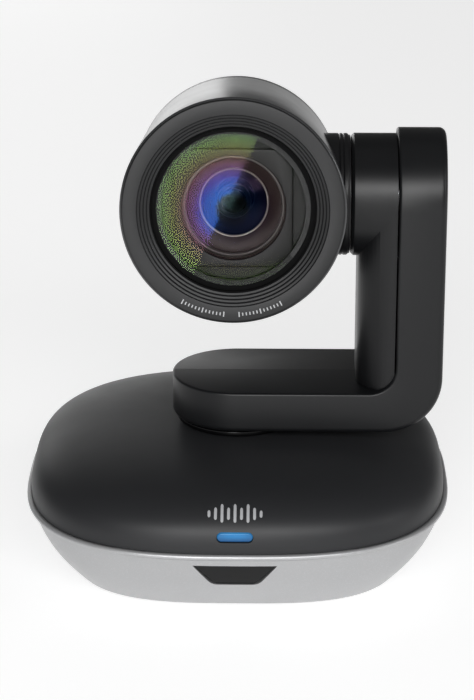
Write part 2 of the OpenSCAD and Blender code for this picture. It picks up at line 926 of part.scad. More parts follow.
module tilt_hub() {
    color("#131315") difference() {
        union() {
            cover_boss(hub_r, head_x + drum_r * 0.7, hub_x - 0.5);
            cover_boss(hub_r - 0.5, head_x + drum_r * 0.7, hub_x);
        }
        drum_form(0.03);
        cover_boss(tilt_shaft_r, 0, arm_reach);
    }
}

module drum_shell() {
    color("#4b4d50") difference() {
        on_lens() rotate_extrude($fn = round_fn) polygon([
            [drum_r - drum_wall, ring_back + 0.1], [drum_r - rim_gap, ring_back + 0.1],
            [drum_r, ring_back + 0.1 + rim_gap], [drum_at(cap_y), cap_y - 0.05],
            [drum_at(cap_y) - drum_wall, cap_y - 0.05]
        ]);
        cover_boss(neck_r + 0.3, 5, arm_reach);
    }
}

module rear_cap() {
    outer = drum_back_r;
    color("#47494c") on_lens() rotate_extrude($fn = round_fn) difference() {
        union() {
            translate([0, cap_y + 0.05]) square([outer, back_y - cap_y - cap_round - 0.05]);
            translate([0, cap_y + 1]) square([outer - cap_round, back_y - cap_y - 1]);
            intersection() {
                translate([outer - cap_round, back_y - cap_round]) circle(r = cap_round, $fn = 64);
                translate([0, cap_y]) square([outer, back_y - cap_y]);
            }
            translate([0, cap_y - 2]) square([outer - drum_wall - 0.15, 3.2]);
        }
        translate([-cut, cap_y - 3]) square([outer - 2 * drum_wall + cut, back_y - cap_y + 3 - drum_wall]);
    }
}

module front_ring() {
    spigot = drum_at(web_y + 2.4) - drum_wall - 0.1;
    side = ring_r - rim_gap;
    color("#3b3d40") on_lens() rotate_extrude($fn = round_fn) polygon([
        [side, ring_back], [side, face_y + 0.5], [side - 0.4, face_y + 0.1],
        [hood_r + 0.2, face_y], [hood_r, face_y + 0.7], [bezel_r, glass_y + 0.2],
        [bezel_r, glass_y + glass_t], [glass_r - 1.4, glass_y + glass_t],
        [glass_r - 1.4, web_y], [spigot - 1.6, web_y], [spigot - 1.6, web_y + 2.4],
        [spigot, web_y + 2.4], [spigot, ring_back]
    ]);
}

module cover_glass() {
    color("#20242c", 0.5) on_lens() disc(glass_r, glass_y, glass_y + glass_t);
}

module lens_mask() {
    color("#101113") on_lens() translate([0, 0, mask_y]) linear_extrude(mask_t) difference() {
        intersection() {
            square(2 * mask_half, center = true);
            rotate([0, 0, 45]) square(2.55 * mask_half, center = true);
        }
        circle(r = front_lens_r + 0.2, $fn = round_fn);
    }
}

module lens_barrel() {
    color("#1a1b1d") on_lens() ring(barrel_r, front_lens_r + 0.02, mask_y + mask_t, barrel_end);
}

// Domed element: a plain rim with a spherical front
module element(r, low, high, bulge) {
    sphere_r = (r * r + bulge * bulge) / (2 * bulge);
    rotate_extrude($fn = round_fn) {
        translate([0, low + bulge]) square([r, high - low - bulge]);
        intersection() {
            translate([0, low + sphere_r]) circle(r = sphere_r, $fn = 180);
            translate([0, low]) square([r, bulge + 0.01]);
        }
    }
}

module front_lens() {
    color("#3a4a78", 0.6) on_lens() element(front_lens_r, lens_y, lens_y + 8, 4.6);
}

module lens_retainer() {
    color("#8f8a86") on_lens() ring(front_lens_r, front_lens_r - 1.1, lens_y + 2, lens_y + 3.8);
}

module optical_chassis() {
    half = chassis_half;
    color("#2a2c2f") in_head() translate([head_x, 0, 0]) difference() {
        block([-half, barrel_end, -half], [half, chassis_end, half]);
        block([-half + chassis_wall, barrel_end + chassis_wall, -half + chassis_wall],
            [half - chassis_wall, chassis_end - chassis_wall, half - chassis_wall]);
        translate([0, barrel_end - cut, 0]) along_y() cylinder(r = front_lens_r - 2, h = 4, $fn = round_fn);
        block([-5.2, chassis_end - 3, -4.2], [5.2, chassis_end + cut, 4.2]);
        for (s = [-1, 1]) {
            translate([s * rod_pitch, barrel_end - cut, -s * rod_pitch]) along_y()
                cylinder(r = rod_r, h = 60, $fn = 32);
            translate([s * rod_pitch, 10, s * rod_pitch]) along_y()
                cylinder(r = screw_r + nut_gap, h = 60, $fn = 32);
        }
    }
}

module head_frame() {
    fit = chassis_half + 0.05;
    rim = drum_at(9) - drum_wall - 0.1;
    color("#7a7d81") difference() {
        union() {
            on_lens() disc(rim, 6, 9);
            intersection() {
                cover_boss(neck_r, max(fit, barrel_r + 0.1) + head_x, drum_r + head_x - 0.4);
                drum_form(-0.4);
            }
        }
        in_head() translate([head_x, 0, 0]) block([-fit, 0, -fit], [fit, 12, fit]);
        cover_boss(tilt_shaft_r, 0, arm_reach);
    }
}

module guide_rods() {
    color("#d8dadd") in_head() for (s = [-1, 1])
        translate([head_x + s * rod_pitch, barrel_end, -s * rod_pitch]) along_y()
            cylinder(r = rod_r, h = chassis_end - barrel_end, $fn = 32);
}

module stage_motors() {
    color("#55585c") in_head() for (s = [-1, 1])
        translate([head_x + s * rod_pitch, chassis_end, s * rod_pitch]) along_y() difference() {
            disc(4, 0, 8.4);
            disc(screw_r + 0.05, -cut, 5);
        }
}

module image_board() {
    color("#1d5b34") in_head() translate([head_x, 0, 0]) {
        block([-7, board_y, -13], [7, board_y + 1.2, 13]);
        translate([0, image_y, 0]) along_y() disc(drum_back_r - 2 * drum_wall - 0.05, 0, 1.4);
        block([-1, board_y + 1, -8], [1, image_y + 0.1, -6]);
    }
    color("#17181a") in_head() translate([head_x, 0, 0]) {
        block([-4.5, board_y - 1.4, -3.5], [4.5, board_y, 3.5]);
        block([-6, image_y + 1.4, -6], [6, image_y + 2.8, 6]);
    }
}

// Spot on the face of a carriage: side -1 or 1 of the rods' diagonal or of the screws' diagonal
module at_corner(diagonal, side) {
    rotate(diagonal * 45) translate([side * rod_pitch * sqrt(2), 0]) children();
}

// Ring with two ears that slide on the guide rods, and a nut for its own screw
module carriage(y, width, side) {
    arm = rod_pitch * sqrt(2) - group_lens_r - 0.9;
    in_head() translate([head_x, y, 0]) along_y() linear_extrude(width) difference() {
        union() {
            circle(r = carriage_r, $fn = round_fn);
            for (s = [-1, 1]) at_corner(1, s) {
                circle(r = 2.6, $fn = 48);
                translate([s > 0 ? -arm : 0, -1.5]) square([arm, 3]);
            }
            at_corner(-1, side) {
                circle(r = 2.8, $fn = 48);
                translate([side > 0 ? -arm : 0, -1.5]) square([arm, 3]);
            }
        }
        circle(r = group_lens_r + 0.02, $fn = round_fn);
        for (s = [-1, 1]) at_corner(1, s) circle(r = rod_r + running_gap, $fn = 48);
        at_corner(-1, side) circle(r = screw_r + nut_gap, $fn = 48);
    }
}

module zoom_carriage() {
    color("#26282b") carriage(zoom_y, zoom_w, -1);
}

module zoom_lens() {
    color("#5a6ea8", 0.6) on_lens() element(group_lens_r, zoom_y + 0.4, zoom_y + 4, 1.2);
}

module focus_carriage() {
    color("#26282b") carriage(focus_y, focus_w, 1);
}

module focus_lens() {
    color("#5a6ea8", 0.6) on_lens() element(group_lens_r, focus_y + 0.4, focus_y + 3.4, 1);
}

// Lead screw in one corner of the chassis
module lead_screw(side) {
    color("#d4d6d9") in_head() translate([head_x + side * rod_pitch, barrel_end + 3, side * rod_pitch])
        along_y() cylinder(r = screw_r, h = chassis_end - barrel_end, $fn = 32);
}

module zoom_screw() {
    lead_screw(-1);
}

module focus_screw() {
    lead_screw(1);
}

foot_pads();
bottom_plate();
base_screws();
tripod_insert();
lower_shell();
top_cover();
status_light();
front_board();
remote_window();
remote_sensor();
main_board();
board_chips();
board_screws();
rear_panel();
power_jack();
usb_socket();
lock_plate();
pan_frame();
pan_bearings();
pan_motor();
pan_sensor();
pan_motor_shaft();
pan_pinion();
pan_shaft();
pan_gear();
pan_flag();
shaft_clip();
arm_collar();
arm_core();
core_screws();
arm_front_shell();
arm_rear_shell();
inner_cover();
tilt_motor();
tilt_bearings();
arm_cable();
tilt_motor_shaft();
tilt_pinion();
tilt_shaft();
tilt_gear();
tilt_hub();
drum_shell();
front_ring();
rear_cap();
cover_glass();
lens_mask();
lens_barrel();
front_lens();
lens_retainer();
optical_chassis();
head_frame();
guide_rods();
stage_motors();
image_board();
zoom_carriage();
zoom_lens();
focus_carriage();
focus_lens();
zoom_screw();
focus_screw();
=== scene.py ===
"""Looks of a desktop pan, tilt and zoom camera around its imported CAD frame.

Lengths are in metres, in the frame of the CAD model: +Z up, the lens towards -Y, the pan axis on Z.
"""
import logging
import math
from collections.abc import Callable, Sequence
from dataclasses import dataclass, field
from enum import Enum

import bmesh
import bpy
from mathutils import Matrix, Vector
from mathutils.bvhtree import BVHTree


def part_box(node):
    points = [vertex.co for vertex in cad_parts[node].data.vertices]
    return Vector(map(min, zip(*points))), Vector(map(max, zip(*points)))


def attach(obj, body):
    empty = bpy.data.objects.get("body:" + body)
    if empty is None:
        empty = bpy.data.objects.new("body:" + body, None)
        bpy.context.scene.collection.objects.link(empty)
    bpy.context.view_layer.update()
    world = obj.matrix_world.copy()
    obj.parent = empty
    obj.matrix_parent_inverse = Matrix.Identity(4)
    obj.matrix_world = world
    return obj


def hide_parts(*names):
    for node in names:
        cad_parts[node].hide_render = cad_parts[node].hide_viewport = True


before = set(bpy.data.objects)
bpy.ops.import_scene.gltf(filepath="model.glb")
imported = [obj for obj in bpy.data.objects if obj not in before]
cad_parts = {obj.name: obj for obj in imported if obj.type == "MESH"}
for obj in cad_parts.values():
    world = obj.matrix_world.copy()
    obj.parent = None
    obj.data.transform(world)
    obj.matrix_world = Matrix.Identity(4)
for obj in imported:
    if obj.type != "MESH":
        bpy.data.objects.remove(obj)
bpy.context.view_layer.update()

MM = 0.001
log = logging.getLogger("camera")

Point = tuple[float, float]
Place = tuple[float, float, float]
Outline = tuple[float, float, float, float]
Colour = tuple[float, float, float]

WHITE: Colour = (1.0, 1.0, 1.0)
QUARTER = math.pi / 2


# ---------------------------------------------------------------- shader graphs


class Value:
    """A shader socket whose arithmetic adds Math nodes."""

    def __init__(self, graph: "Graph", socket: bpy.types.NodeSocket) -> None:
        """Keeps the socket and the graph it belongs to."""
        self.graph = graph
        self.socket = socket

    def math(self, operation: str, *others: "Value | float", first: bool = True) -> "Value":
        """Adds one Math node.

        Args:
            operation: the Math node's operation.
            others: the other operands.
            first: whether this value is the first operand.

        Returns:
            The node's result.
        """
        operands = [self, *others] if first else [*others, self]
        return self.graph.node("ShaderNodeMath", {"operation": operation}, dict(enumerate(operands)))

    def __add__(self, other: "Value | float") -> "Value":
        """Sum."""
        return self.math("ADD", other)

    __radd__ = __add__

    def __sub__(self, other: "Value | float") -> "Value":
        """Difference."""
        return self.math("SUBTRACT", other)

    def __rsub__(self, other: float) -> "Value":
        """Difference from a number."""
        return self.math("SUBTRACT", other, first=False)

    def __mul__(self, other: "Value | float") -> "Value":
        """Product."""
        return self.math("MULTIPLY", other)

    __rmul__ = __mul__

    def __truediv__(self, other: "Value | float") -> "Value":
        """Quotient."""
        return self.math("DIVIDE", other)

    def __pow__(self, other: "Value | float") -> "Value":
        """Power."""
        return self.math("POWER", other)

    def band(self, low: float, high: float) -> "Value":
        """Rises smoothly from 0 at low to 1 at high.

        Args:
            low: value that gives 0.
            high: value that gives 1.

        Returns:
            The eased value.
        """
        inputs = {"Value": self, "From Min": low, "From Max": high}
        return self.graph.node("ShaderNodeMapRange", {"interpolation_type": "SMOOTHSTEP"}, inputs)


class Graph:
    """The node tree of one material, with its Principled shader."""

    def __init__(self, name: str) -> None:
        """Makes an empty material tree with a Principled shader and an output."""
        self.material = bpy.data.materials.new(name)
        self.material.use_nodes = True
        self.tree = self.material.node_tree
        self.tree.nodes.clear()
        self.shader = self.tree.nodes.new("ShaderNodeBsdfPrincipled")
        output = self.tree.nodes.new("ShaderNodeOutputMaterial")
        self.tree.links.new(self.shader.outputs[0], output.inputs["Surface"])

    def feed(self, socket: bpy.types.NodeSocket, value: "Value | float | Sequence[float]") -> None:
        """Links a value to a socket, or sets the socket to a constant."""
        if isinstance(value, Value):
            self.tree.links.new(value.socket, socket)
        elif isinstance(value, (int, float)) or len(value) == len(socket.default_value):
            socket.default_value = value
        else:
            socket.default_value = (*value, 1.0)

    def node(self, kind: str, settings: dict, inputs: dict, output: int | str = 0) -> Value:
        """Adds a node of any type.

        Args:
            kind: the node's type name.
            settings: its properties; "stops" holds a colour ramp's (position, colour) pairs.
            inputs: values, links or colours for its sockets, by name or index.
            output: the output socket that is returned.

        Returns:
            The chosen output.
        """
        made = self.tree.nodes.new(kind)
        for key, value in settings.items():
            if key == "stops":
                self._set_stops(made.color_ramp, value)
            else:
                setattr(made, key, value)
        for key, value in inputs.items():
            self.feed(made.inputs[key], value)
        return Value(self, made.outputs[output])

    def _set_stops(self, ramp: bpy.types.ColorRamp, stops: Sequence[tuple[float, Colour]]) -> None:
        """Gives a colour ramp its stops, in order."""
        while len(ramp.elements) < len(stops):
            ramp.elements.new(1.0)
        for element, (position, colour) in zip(ramp.elements, stops):
            element.position = position
            element.color = (*colour, 1.0)

    def vector(self, operation: str, *operands: "Value | Place", output: str = "Value") -> Value:
        """Adds one Vector Math node."""
        return self.node("ShaderNodeVectorMath", {"operation": operation}, dict(enumerate(operands)), output)

    def place(self, origin: Place | None = None) -> Value:
        """Object coordinates, measured from an origin where one is given."""
        place = self.node("ShaderNodeTexCoord", {}, {}, "Object")
        return self.vector("SUBTRACT", place, origin, output="Vector") if origin else place

    def noise(self, scale: float, detail: float = 2.0, roughness: float = 0.5) -> Value:
        """Fractal noise on Object coordinates, about 0.5."""
        inputs = {"Vector": self.place(), "Scale": scale, "Detail": detail, "Roughness": roughness}
        return self.node("ShaderNodeTexNoise", {}, inputs)

    def speckle(self, scale: float) -> Value:
        """A random value in each small cell."""
        cells = self.node("ShaderNodeTexVoronoi", {}, {"Vector": self.place(), "Scale": scale}, "Color")
        return self.node("ShaderNodeSeparateColor", {}, {"Color": cells}, "Red")

    def blend(self, factor: Value, low: "Value | Colour", high: "Value | Colour") -> Value:
        """Mixes two colours."""
        made = self.tree.nodes.new("ShaderNodeMix")
        made.data_type = "RGBA"
        colours = [socket for socket in made.inputs if socket.type == "RGBA"]
        for socket, value in zip((made.inputs[0], *colours), (factor, low, high)):
            self.feed(socket, value)
        return Value(self, next(socket for socket in made.outputs if socket.type == "RGBA"))

    def bump(self, height: Value, depth: float) -> Value:
        """Surface normal of a height field.

        Args:
            height: the field, from 0 to 1.
            depth: the height in metres that 1 stands for.

        Returns:
            The bent normal.
        """
        return self.node("ShaderNodeBump", {}, {"Strength": 1.0, "Distance": depth, "Height": height})

    def set(self, **sockets: "Value | float | Sequence[float]") -> None:
        """Feeds the Principled shader's sockets, with underscores for spaces in their names."""
        for key, value in sockets.items():
            self.feed(self.shader.inputs[key.replace("_", " ")], value)


def scaled(colour: Colour, factor: float) -> Colour:
    """A colour made brighter or darker."""
    return tuple(min(1.0, part * factor) for part in colour)


# ---------------------------------------------------------------- finishes


@dataclass(frozen=True)
class Finish:
    """A surface with a fine grain, a slight mottle and an uneven sheen; grain and depth are in mm."""

    name: str
    colour: Colour
    roughness: float = 0.5
    metallic: float = 0.0
    coat: float = 0.0
    grain: float = 0.3
    depth: float = 0.01
    mottle: float = 0.06
    fleck: float = 0.0
    specular: float = 0.5

    def make(self) -> bpy.types.Material:
        """Builds the material.

        Returns:
            The finished material.
        """
        graph = Graph(self.name)
        graph.set(Base_Color=self.tint(graph), Roughness=self.sheen(graph), Normal=self.relief(graph))
        graph.set(Metallic=self.metallic, Coat_Weight=self.coat, Coat_Roughness=0.12)
        graph.set(Specular_IOR_Level=self.specular)
        self.extra(graph)
        graph.material.diffuse_color = (*self.colour, 1.0)
        return graph.material

    def tint(self, graph: Graph) -> Value:
        """Colour over the surface: a slow mottle and small flecks."""
        slow = graph.noise(60.0, 3.0)
        colour = graph.blend(slow, scaled(self.colour, 1 - self.mottle), scaled(self.colour, 1 + self.mottle))
        if self.fleck:
            spots = graph.speckle(0.5 / (self.grain * MM)) ** 6.0 * self.fleck
            colour = graph.blend(spots, colour, scaled(self.colour, 2.4))
        return colour

    def sheen(self, graph: Graph) -> Value:
        """Roughness over the surface."""
        return graph.noise(90.0, 4.0, 0.6) * 0.08 + (self.roughness - 0.04)

    def relief(self, graph: Graph) -> Value:
        """Fine grain of the surface."""
        fine = graph.noise(1.0 / (self.grain * MM), 2.0, 0.6)
        return graph.bump(fine, self.depth * MM)

    def extra(self, graph: Graph) -> None:
        """What a special finish adds."""


@dataclass(frozen=True)
class Turned(Finish):
    """A lathe-turned or brushed surface with fine rings about an axis."""

    centre: Place = (0.0, 0.0, 0.0)
    axis: Place = (0.0, 0.0, 1.0)
    pitch: float = 0.12 * MM
    lead: float = 0.7
    wander: float = 800.0

    def relief(self, graph: Graph) -> Value:
        """Fine rings about the axis, at a slightly wandering depth."""
        place = graph.place(self.centre)
        axial = graph.vector("DOT_PRODUCT", place, self.axis)
        length = graph.vector("LENGTH", place)
        radius = (length * length - axial * axial).math("MAXIMUM", 0.0).math("SQRT")
        rings = ((radius + axial * self.lead) * (math.tau / self.pitch)).math("SINE") * 0.5 + 0.5
        return graph.bump(rings * graph.noise(self.wander), self.depth * MM)


@dataclass(frozen=True)
class Glowing(Finish):
    """A translucent light pipe that glows most along its middle."""

    glow: Colour = (0.1, 0.45, 1.0)
    strength: float = 2.0
    centre: Place = (0.0, 0.0, 0.0)
    half_height: float = 1.4 * MM
    fade: Point = (1.0 * MM, 6.5 * MM)

    def extra(self, graph: Graph) -> None:
        """Adds the glow, brighter towards the top edge and the middle."""
        place = graph.place(self.centre)
        up, across = (graph.node("ShaderNodeSeparateXYZ", {}, {"Vector": place}, axis) for axis in "ZX")
        rise = up.band(-self.half_height, self.half_height * 0.5)
        middle = 1 - across.math("ABSOLUTE").band(*self.fade) * 0.55
        glow = graph.blend(rise * middle, scaled(self.glow, 0.12), self.glow)
        graph.set(Emission_Color=glow, Emission_Strength=self.strength)


@dataclass(frozen=True)
class Lit(Finish):
    """A plain surface that gives a little light of its own."""

    glow: float = 0.0

    def extra(self, graph: Graph) -> None:
        """Adds the even light."""
        graph.set(Emission_Color=WHITE, Emission_Strength=self.glow)


@dataclass(frozen=True)
class Coated(Finish):
    """Coated glass whose reflection changes hue from its centre to its rim."""

    centre: Place = (0.0, 0.0, 0.0)
    radius: float = 22 * MM
    hues: tuple[tuple[float, Colour], ...] = ((0.0, (0.3, 0.5, 1.0)), (1.0, (0.4, 0.8, 0.3)))
    alpha: float = 0.3

    def tint(self, graph: Graph) -> Value:
        """Reflection colour by distance from the lens axis, with a faint streak."""
        length = graph.vector("LENGTH", graph.place(self.centre))
        wander = graph.noise(70.0, 2.0) * 0.05 - 0.025
        return graph.node("ShaderNodeValToRGB", {"stops": self.hues}, {"Fac": length / self.radius + wander})

    def sheen(self, graph: Graph) -> Value:
        """An almost perfect polish with a trace of haze."""
        return graph.noise(300.0, 3.0) * 0.01 + self.roughness

    def relief(self, graph: Graph) -> Value:
        """The faintest waviness of polished glass."""
        return graph.bump(graph.noise(20.0, 1.0), self.depth * MM)

    def extra(self, graph: Graph) -> None:
        """Lets most of the light through."""
        graph.set(Alpha=self.alpha)


@dataclass(frozen=True)
class Board(Finish):
    """A circuit board with copper tracks under its solder mask."""

    track: float = 1.1 * MM

    def tint(self, graph: Graph) -> Value:
        """Mask colour with paler tracks in a broken grid."""
        colours = {"Mortar": WHITE, "Color1": (0.0, 0.0, 0.0), "Color2": (0.1, 0.1, 0.1)}
        inputs = {"Vector": graph.place(), "Scale": 1.0 / (self.track * 4), "Mortar Size": 0.03, **colours}
        brick = graph.node("ShaderNodeTexBrick", {"offset": 0.5}, inputs)
        lines = graph.node("ShaderNodeSeparateColor", {}, {"Color": brick}, "Red")
        return graph.blend(lines * 0.6, self.colour, scaled(self.colour, 2.6))


class Paint(Enum):
    """The finishes that the camera uses."""

    DOME = Finish("charcoal_moulding", (0.016, 0.0165, 0.018), 0.48, grain=0.22, depth=0.012, specular=0.35)
    BOWL = Finish(
        "silver_paint", (0.4, 0.402, 0.408), 0.4, 0.55, grain=0.12, depth=0.006, mottle=0.03, fleck=0.08)
    ARM = Finish("satin_black_shell", (0.0055, 0.0058, 0.0065), 0.35, grain=0.12, depth=0.003, specular=0.3)
    INNER = Finish("satin_black_cover", (0.0048, 0.005, 0.0056), 0.34, grain=0.12, depth=0.003, specular=0.3)
    GLOSS = Finish("polished_black", (0.002, 0.002, 0.0023), 0.1, depth=0.0005, mottle=0.02, specular=0.2)
    VOID = Finish("deep_black", (0.002, 0.002, 0.0022), 0.8, depth=0.002, specular=0.1)
    BLACK = Finish("moulded_black", (0.009, 0.009, 0.0095), 0.55, depth=0.012)
    RUBBER = Finish("foot_rubber", (0.012, 0.012, 0.012), 0.82, grain=0.5, depth=0.03)
    SCREW = Finish("zinc_screw", (0.42, 0.42, 0.43), 0.32, 1.0, grain=0.1, depth=0.006)
    STEEL = Finish("ground_steel", (0.55, 0.56, 0.58), 0.24, 1.0, grain=0.1, depth=0.004)
    BRASS = Finish("turned_brass", (0.68, 0.48, 0.2), 0.27, 1.0, grain=0.1, depth=0.006)
    CAST = Finish("cast_alloy", (0.36, 0.37, 0.38), 0.5, 0.9, grain=0.5, depth=0.03)
    CAN = Finish("motor_can", (0.19, 0.195, 0.2), 0.38, 0.8, depth=0.008)
    ACETAL = Finish("acetal_gear", (0.66, 0.63, 0.54), 0.42, depth=0.008)
    FILM = Finish("cable_film", (0.5, 0.2, 0.035), 0.24, coat=0.4, depth=0.006)
    PRINT = Finish("printed_mark", (0.36, 0.365, 0.375), 0.5, depth=0.004)


_made: dict[str, bpy.types.Material] = {}


def material(finish: Finish | Paint) -> bpy.types.Material:
    """The material of a finish, made once."""
    finish = finish.value if isinstance(finish, Paint) else finish
    if finish.name not in _made:
        _made[finish.name] = finish.make()
    return _made[finish.name]


# ---------------------------------------------------------------- mesh making

HARD_ANGLE = math.radians(34)
WELD = 1e-6


class Shape:
    """A mesh in the making, in metres."""

    def __init__(self) -> None:
        """Starts with nothing."""
        self.bm = bmesh.new()

    @classmethod
    def turned(cls, profile: Sequence[Point], steps: int = 144, closed: bool = True) -> "Shape":
        """Spins a profile a full turn about Z.

        Args:
            profile: (radius, height) points.
            steps: faces round the turn.
            closed: whether the last point joins the first.

        Returns:
            The turned shape.
        """
        shape = cls()
        verts = [shape.bm.verts.new((radius, 0.0, height)) for radius, height in profile]
        ends = [*verts[1:], verts[0]] if closed else verts[1:]
        edges = [shape.bm.edges.new(pair) for pair in zip(verts, ends)]
        bmesh.ops.spin(
            shape.bm, geom=[*verts, *edges], cent=(0, 0, 0), axis=(0, 0, 1), dvec=(0, 0, 0),
            angle=math.tau, steps=steps, use_merge=True, use_duplicate=False)
        return shape.welded()

    @classmethod
    def block(cls, low: Sequence[float], high: Sequence[float]) -> "Shape":
        """A box between two corners."""
        shape = cls()
        middle = (Vector(low) + Vector(high)) / 2
        size = Vector(high) - Vector(low)
        matrix = Matrix.Translation(middle) @ Matrix.Diagonal((*size, 1.0))
        bmesh.ops.create_cube(shape.bm, size=1.0, matrix=matrix)
        return shape

    @classmethod
    def of_node(cls, name: str) -> "Shape":
        """A merged copy of a CAD node, its flat faces joined again."""
        shape = cls()
        shape.bm.from_mesh(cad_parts[name].data)
        bmesh.ops.remove_doubles(shape.bm, verts=shape.bm.verts, dist=WELD)
        bmesh.ops.dissolve_limit(
            shape.bm, angle_limit=math.radians(0.4), verts=shape.bm.verts, edges=shape.bm.edges)
        return shape

    @classmethod
    def lofted(cls, rings: Sequence[Outline], points: int, closed: bool) -> "Shape":
        """Extrudes one rounded plan outline up through others.

        Args:
            rings: half width, half depth, height and corner power of each outline.
            points: corners of each outline.
            closed: whether the last outline joins the first.

        Returns:
            The lofted skin.
        """
        shape = cls()
        made = bmesh.ops.create_circle(shape.bm, segments=points, radius=1.0, cap_ends=False)
        ring = sorted(made["verts"], key=lambda vert: math.atan2(vert.co.y, vert.co.x) % math.tau)
        for number, outline in enumerate([*rings, rings[0]] if closed else rings):
            if number:
                ring = shape.grown(ring)
            for index, vert in enumerate(ring):
                vert.co = plan_point(math.tau * index / points, *outline)
        return shape.welded()

    def grown(self, ring: Sequence[bmesh.types.BMVert]) -> list[bmesh.types.BMVert]:
        """Extrudes an open ring of corners.

        Args:
            ring: the corners, in order.

        Returns:
            The new corners, in the same order.
        """
        pairs = zip(ring, [*ring[1:], ring[0]])
        edges = [self.bm.edges.get(pair) for pair in pairs]
        made = bmesh.ops.extrude_edge_only(self.bm, edges=edges)
        fresh = {item for item in made["geom"] if isinstance(item, bmesh.types.BMVert)}
        return [next(e.other_vert(v) for e in v.link_edges if e.other_vert(v) in fresh) for v in ring]

    def welded(self) -> "Shape":
        """Merges doubles and turns every face outwards."""
        bmesh.ops.remove_doubles(self.bm, verts=self.bm.verts, dist=WELD)
        bmesh.ops.recalc_face_normals(self.bm, faces=self.bm.faces)
        return self

    def copy(self) -> "Shape":
        """A shape of its own with the same mesh."""
        other = Shape()
        other.bm.free()
        other.bm = self.bm.copy()
        return other

    def moved(self, matrix: Matrix) -> "Shape":
        """Carries the whole shape."""
        bmesh.ops.transform(self.bm, matrix=matrix, verts=self.bm.verts)
        return self

    def bevelled(
        self, width: float, segments: int = 3, angle: float = 30.0,
        pick: Callable[[Vector], bool] | None = None,
    ) -> "Shape":
        """Rounds the sharp edges.

        Args:
            width: size of the rounding.
            segments: its facets.
            angle: the least angle of an edge that counts as sharp, in degrees.
            pick: a test on an edge's middle, where only some edges are meant.

        Returns:
            The same shape.
        """
        limit = math.radians(angle)
        edges = [
            edge for edge in self.bm.edges
            if len(edge.link_faces) == 2 and edge.calc_face_angle() > limit
            and (pick is None or pick((edge.verts[0].co + edge.verts[1].co) / 2))
        ]
        bmesh.ops.bevel(
            self.bm, geom=edges, offset=width, offset_type="OFFSET", affect="EDGES", segments=segments,
            profile=0.5, material=-1, clamp_overlap=True)
        return self

    def meshed(self, name: str) -> bpy.types.Mesh:
        """The shape as mesh data."""
        mesh = bpy.data.meshes.new(name)
        self.bm.to_mesh(mesh)
        return mesh

    def join(self, other: "Shape") -> None:
        """Takes in another shape's mesh."""
        mesh = other.meshed("joined")
        self.bm.from_mesh(mesh)
        bpy.data.meshes.remove(mesh)
        other.bm.free()

    def carved(self, *tools: "Shape", how: str = "DIFFERENCE") -> "Shape":
        """Cuts, joins or intersects this shape with others.

        Args:
            tools: the other shapes.
            how: the Boolean operation.

        Returns:
            The same shape.
        """
        for tool in tools:
            target, cutter = (linked("loose", shape.meshed("loose")) for shape in (self, tool))
            change = target.modifiers.new("carve", "BOOLEAN")
            change.operation, change.object, change.solver = how, cutter, "EXACT"
            graph = bpy.context.evaluated_depsgraph_get()
            result = bpy.data.meshes.new_from_object(target.evaluated_get(graph))
            self.bm.clear()
            self.bm.from_mesh(result)
            for thing in (target, cutter):
                bpy.data.objects.remove(thing)
        return self

    def sliced(self, point: Sequence[float], normal: Sequence[float], clear: bool = False) -> "Shape":
        """Cuts every face at a plane, and clears what lies beyond it where asked."""
        everything = [*self.bm.verts, *self.bm.edges, *self.bm.faces]
        bmesh.ops.bisect_plane(
            self.bm, geom=everything, dist=WELD, plane_co=point, plane_no=normal, clear_outer=clear)
        return self

    def placed(
        self, name: str, body: str, paint: "Paint | Finish", slot: str, *nodes: str, weighted: bool = False,
    ) -> bpy.types.Object:
        """Makes the finished piece and puts it on its body.

        Args:
            name: the piece's name.
            body: the CAD body that it rides on.
            paint: its finish.
            slot: the name of its material slot; not used.
            nodes: the CAD nodes that it stands for.
            weighted: whether flat faces keep flat shading beside their rounded edges.

        Returns:
            The piece.
        """
        bmesh.ops.remove_doubles(self.bm, verts=self.bm.verts, dist=WELD)
        for face in self.bm.faces:
            face.smooth = True
        for edge in self.bm.edges:
            edge.smooth = len(edge.link_faces) == 2 and edge.calc_face_angle() < HARD_ANGLE
        mesh = self.meshed(name)
        self.bm.free()
        piece = linked(name, mesh)
        mesh.materials.append(material(paint))
        if weighted:
            piece.modifiers.new("weighted", "WEIGHTED_NORMAL").keep_sharp = True
        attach(piece, body)
        if nodes:
            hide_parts(*nodes)
        log.info("%s on %s: %d faces", name, body, len(mesh.polygons))
        return piece


def linked(name: str, data: bpy.types.ID) -> bpy.types.Object:
    """A new object in the scene."""
    thing = bpy.data.objects.new(name, data)
    bpy.context.scene.collection.objects.link(thing)
    return thing


def plug(radius: float, low: float, high: float) -> Shape:
    """A cylinder on Z between two heights, to cut a bore with."""
    return Shape.turned([(0, low), (radius, low), (radius, high), (0, high)], closed=False)


def tilt_frame(height: float) -> Matrix:
    """Carries Z on to the tilt axis, which runs along X at a height."""
    return Matrix.Translation((0, 0, height)) @ Matrix.Rotation(QUARTER, 4, "Y")


def spread(value: float, power: float) -> float:
    """One side of a superellipse's formula."""
    return math.copysign(abs(value) ** (2 / power), value)


def plan_point(turn: float, half_x: float, half_y: float, height: float, power: float) -> Vector:
    """A point of a rounded plan outline."""
    return Vector((half_x * spread(math.cos(turn), power), half_y * spread(math.sin(turn), power), height))


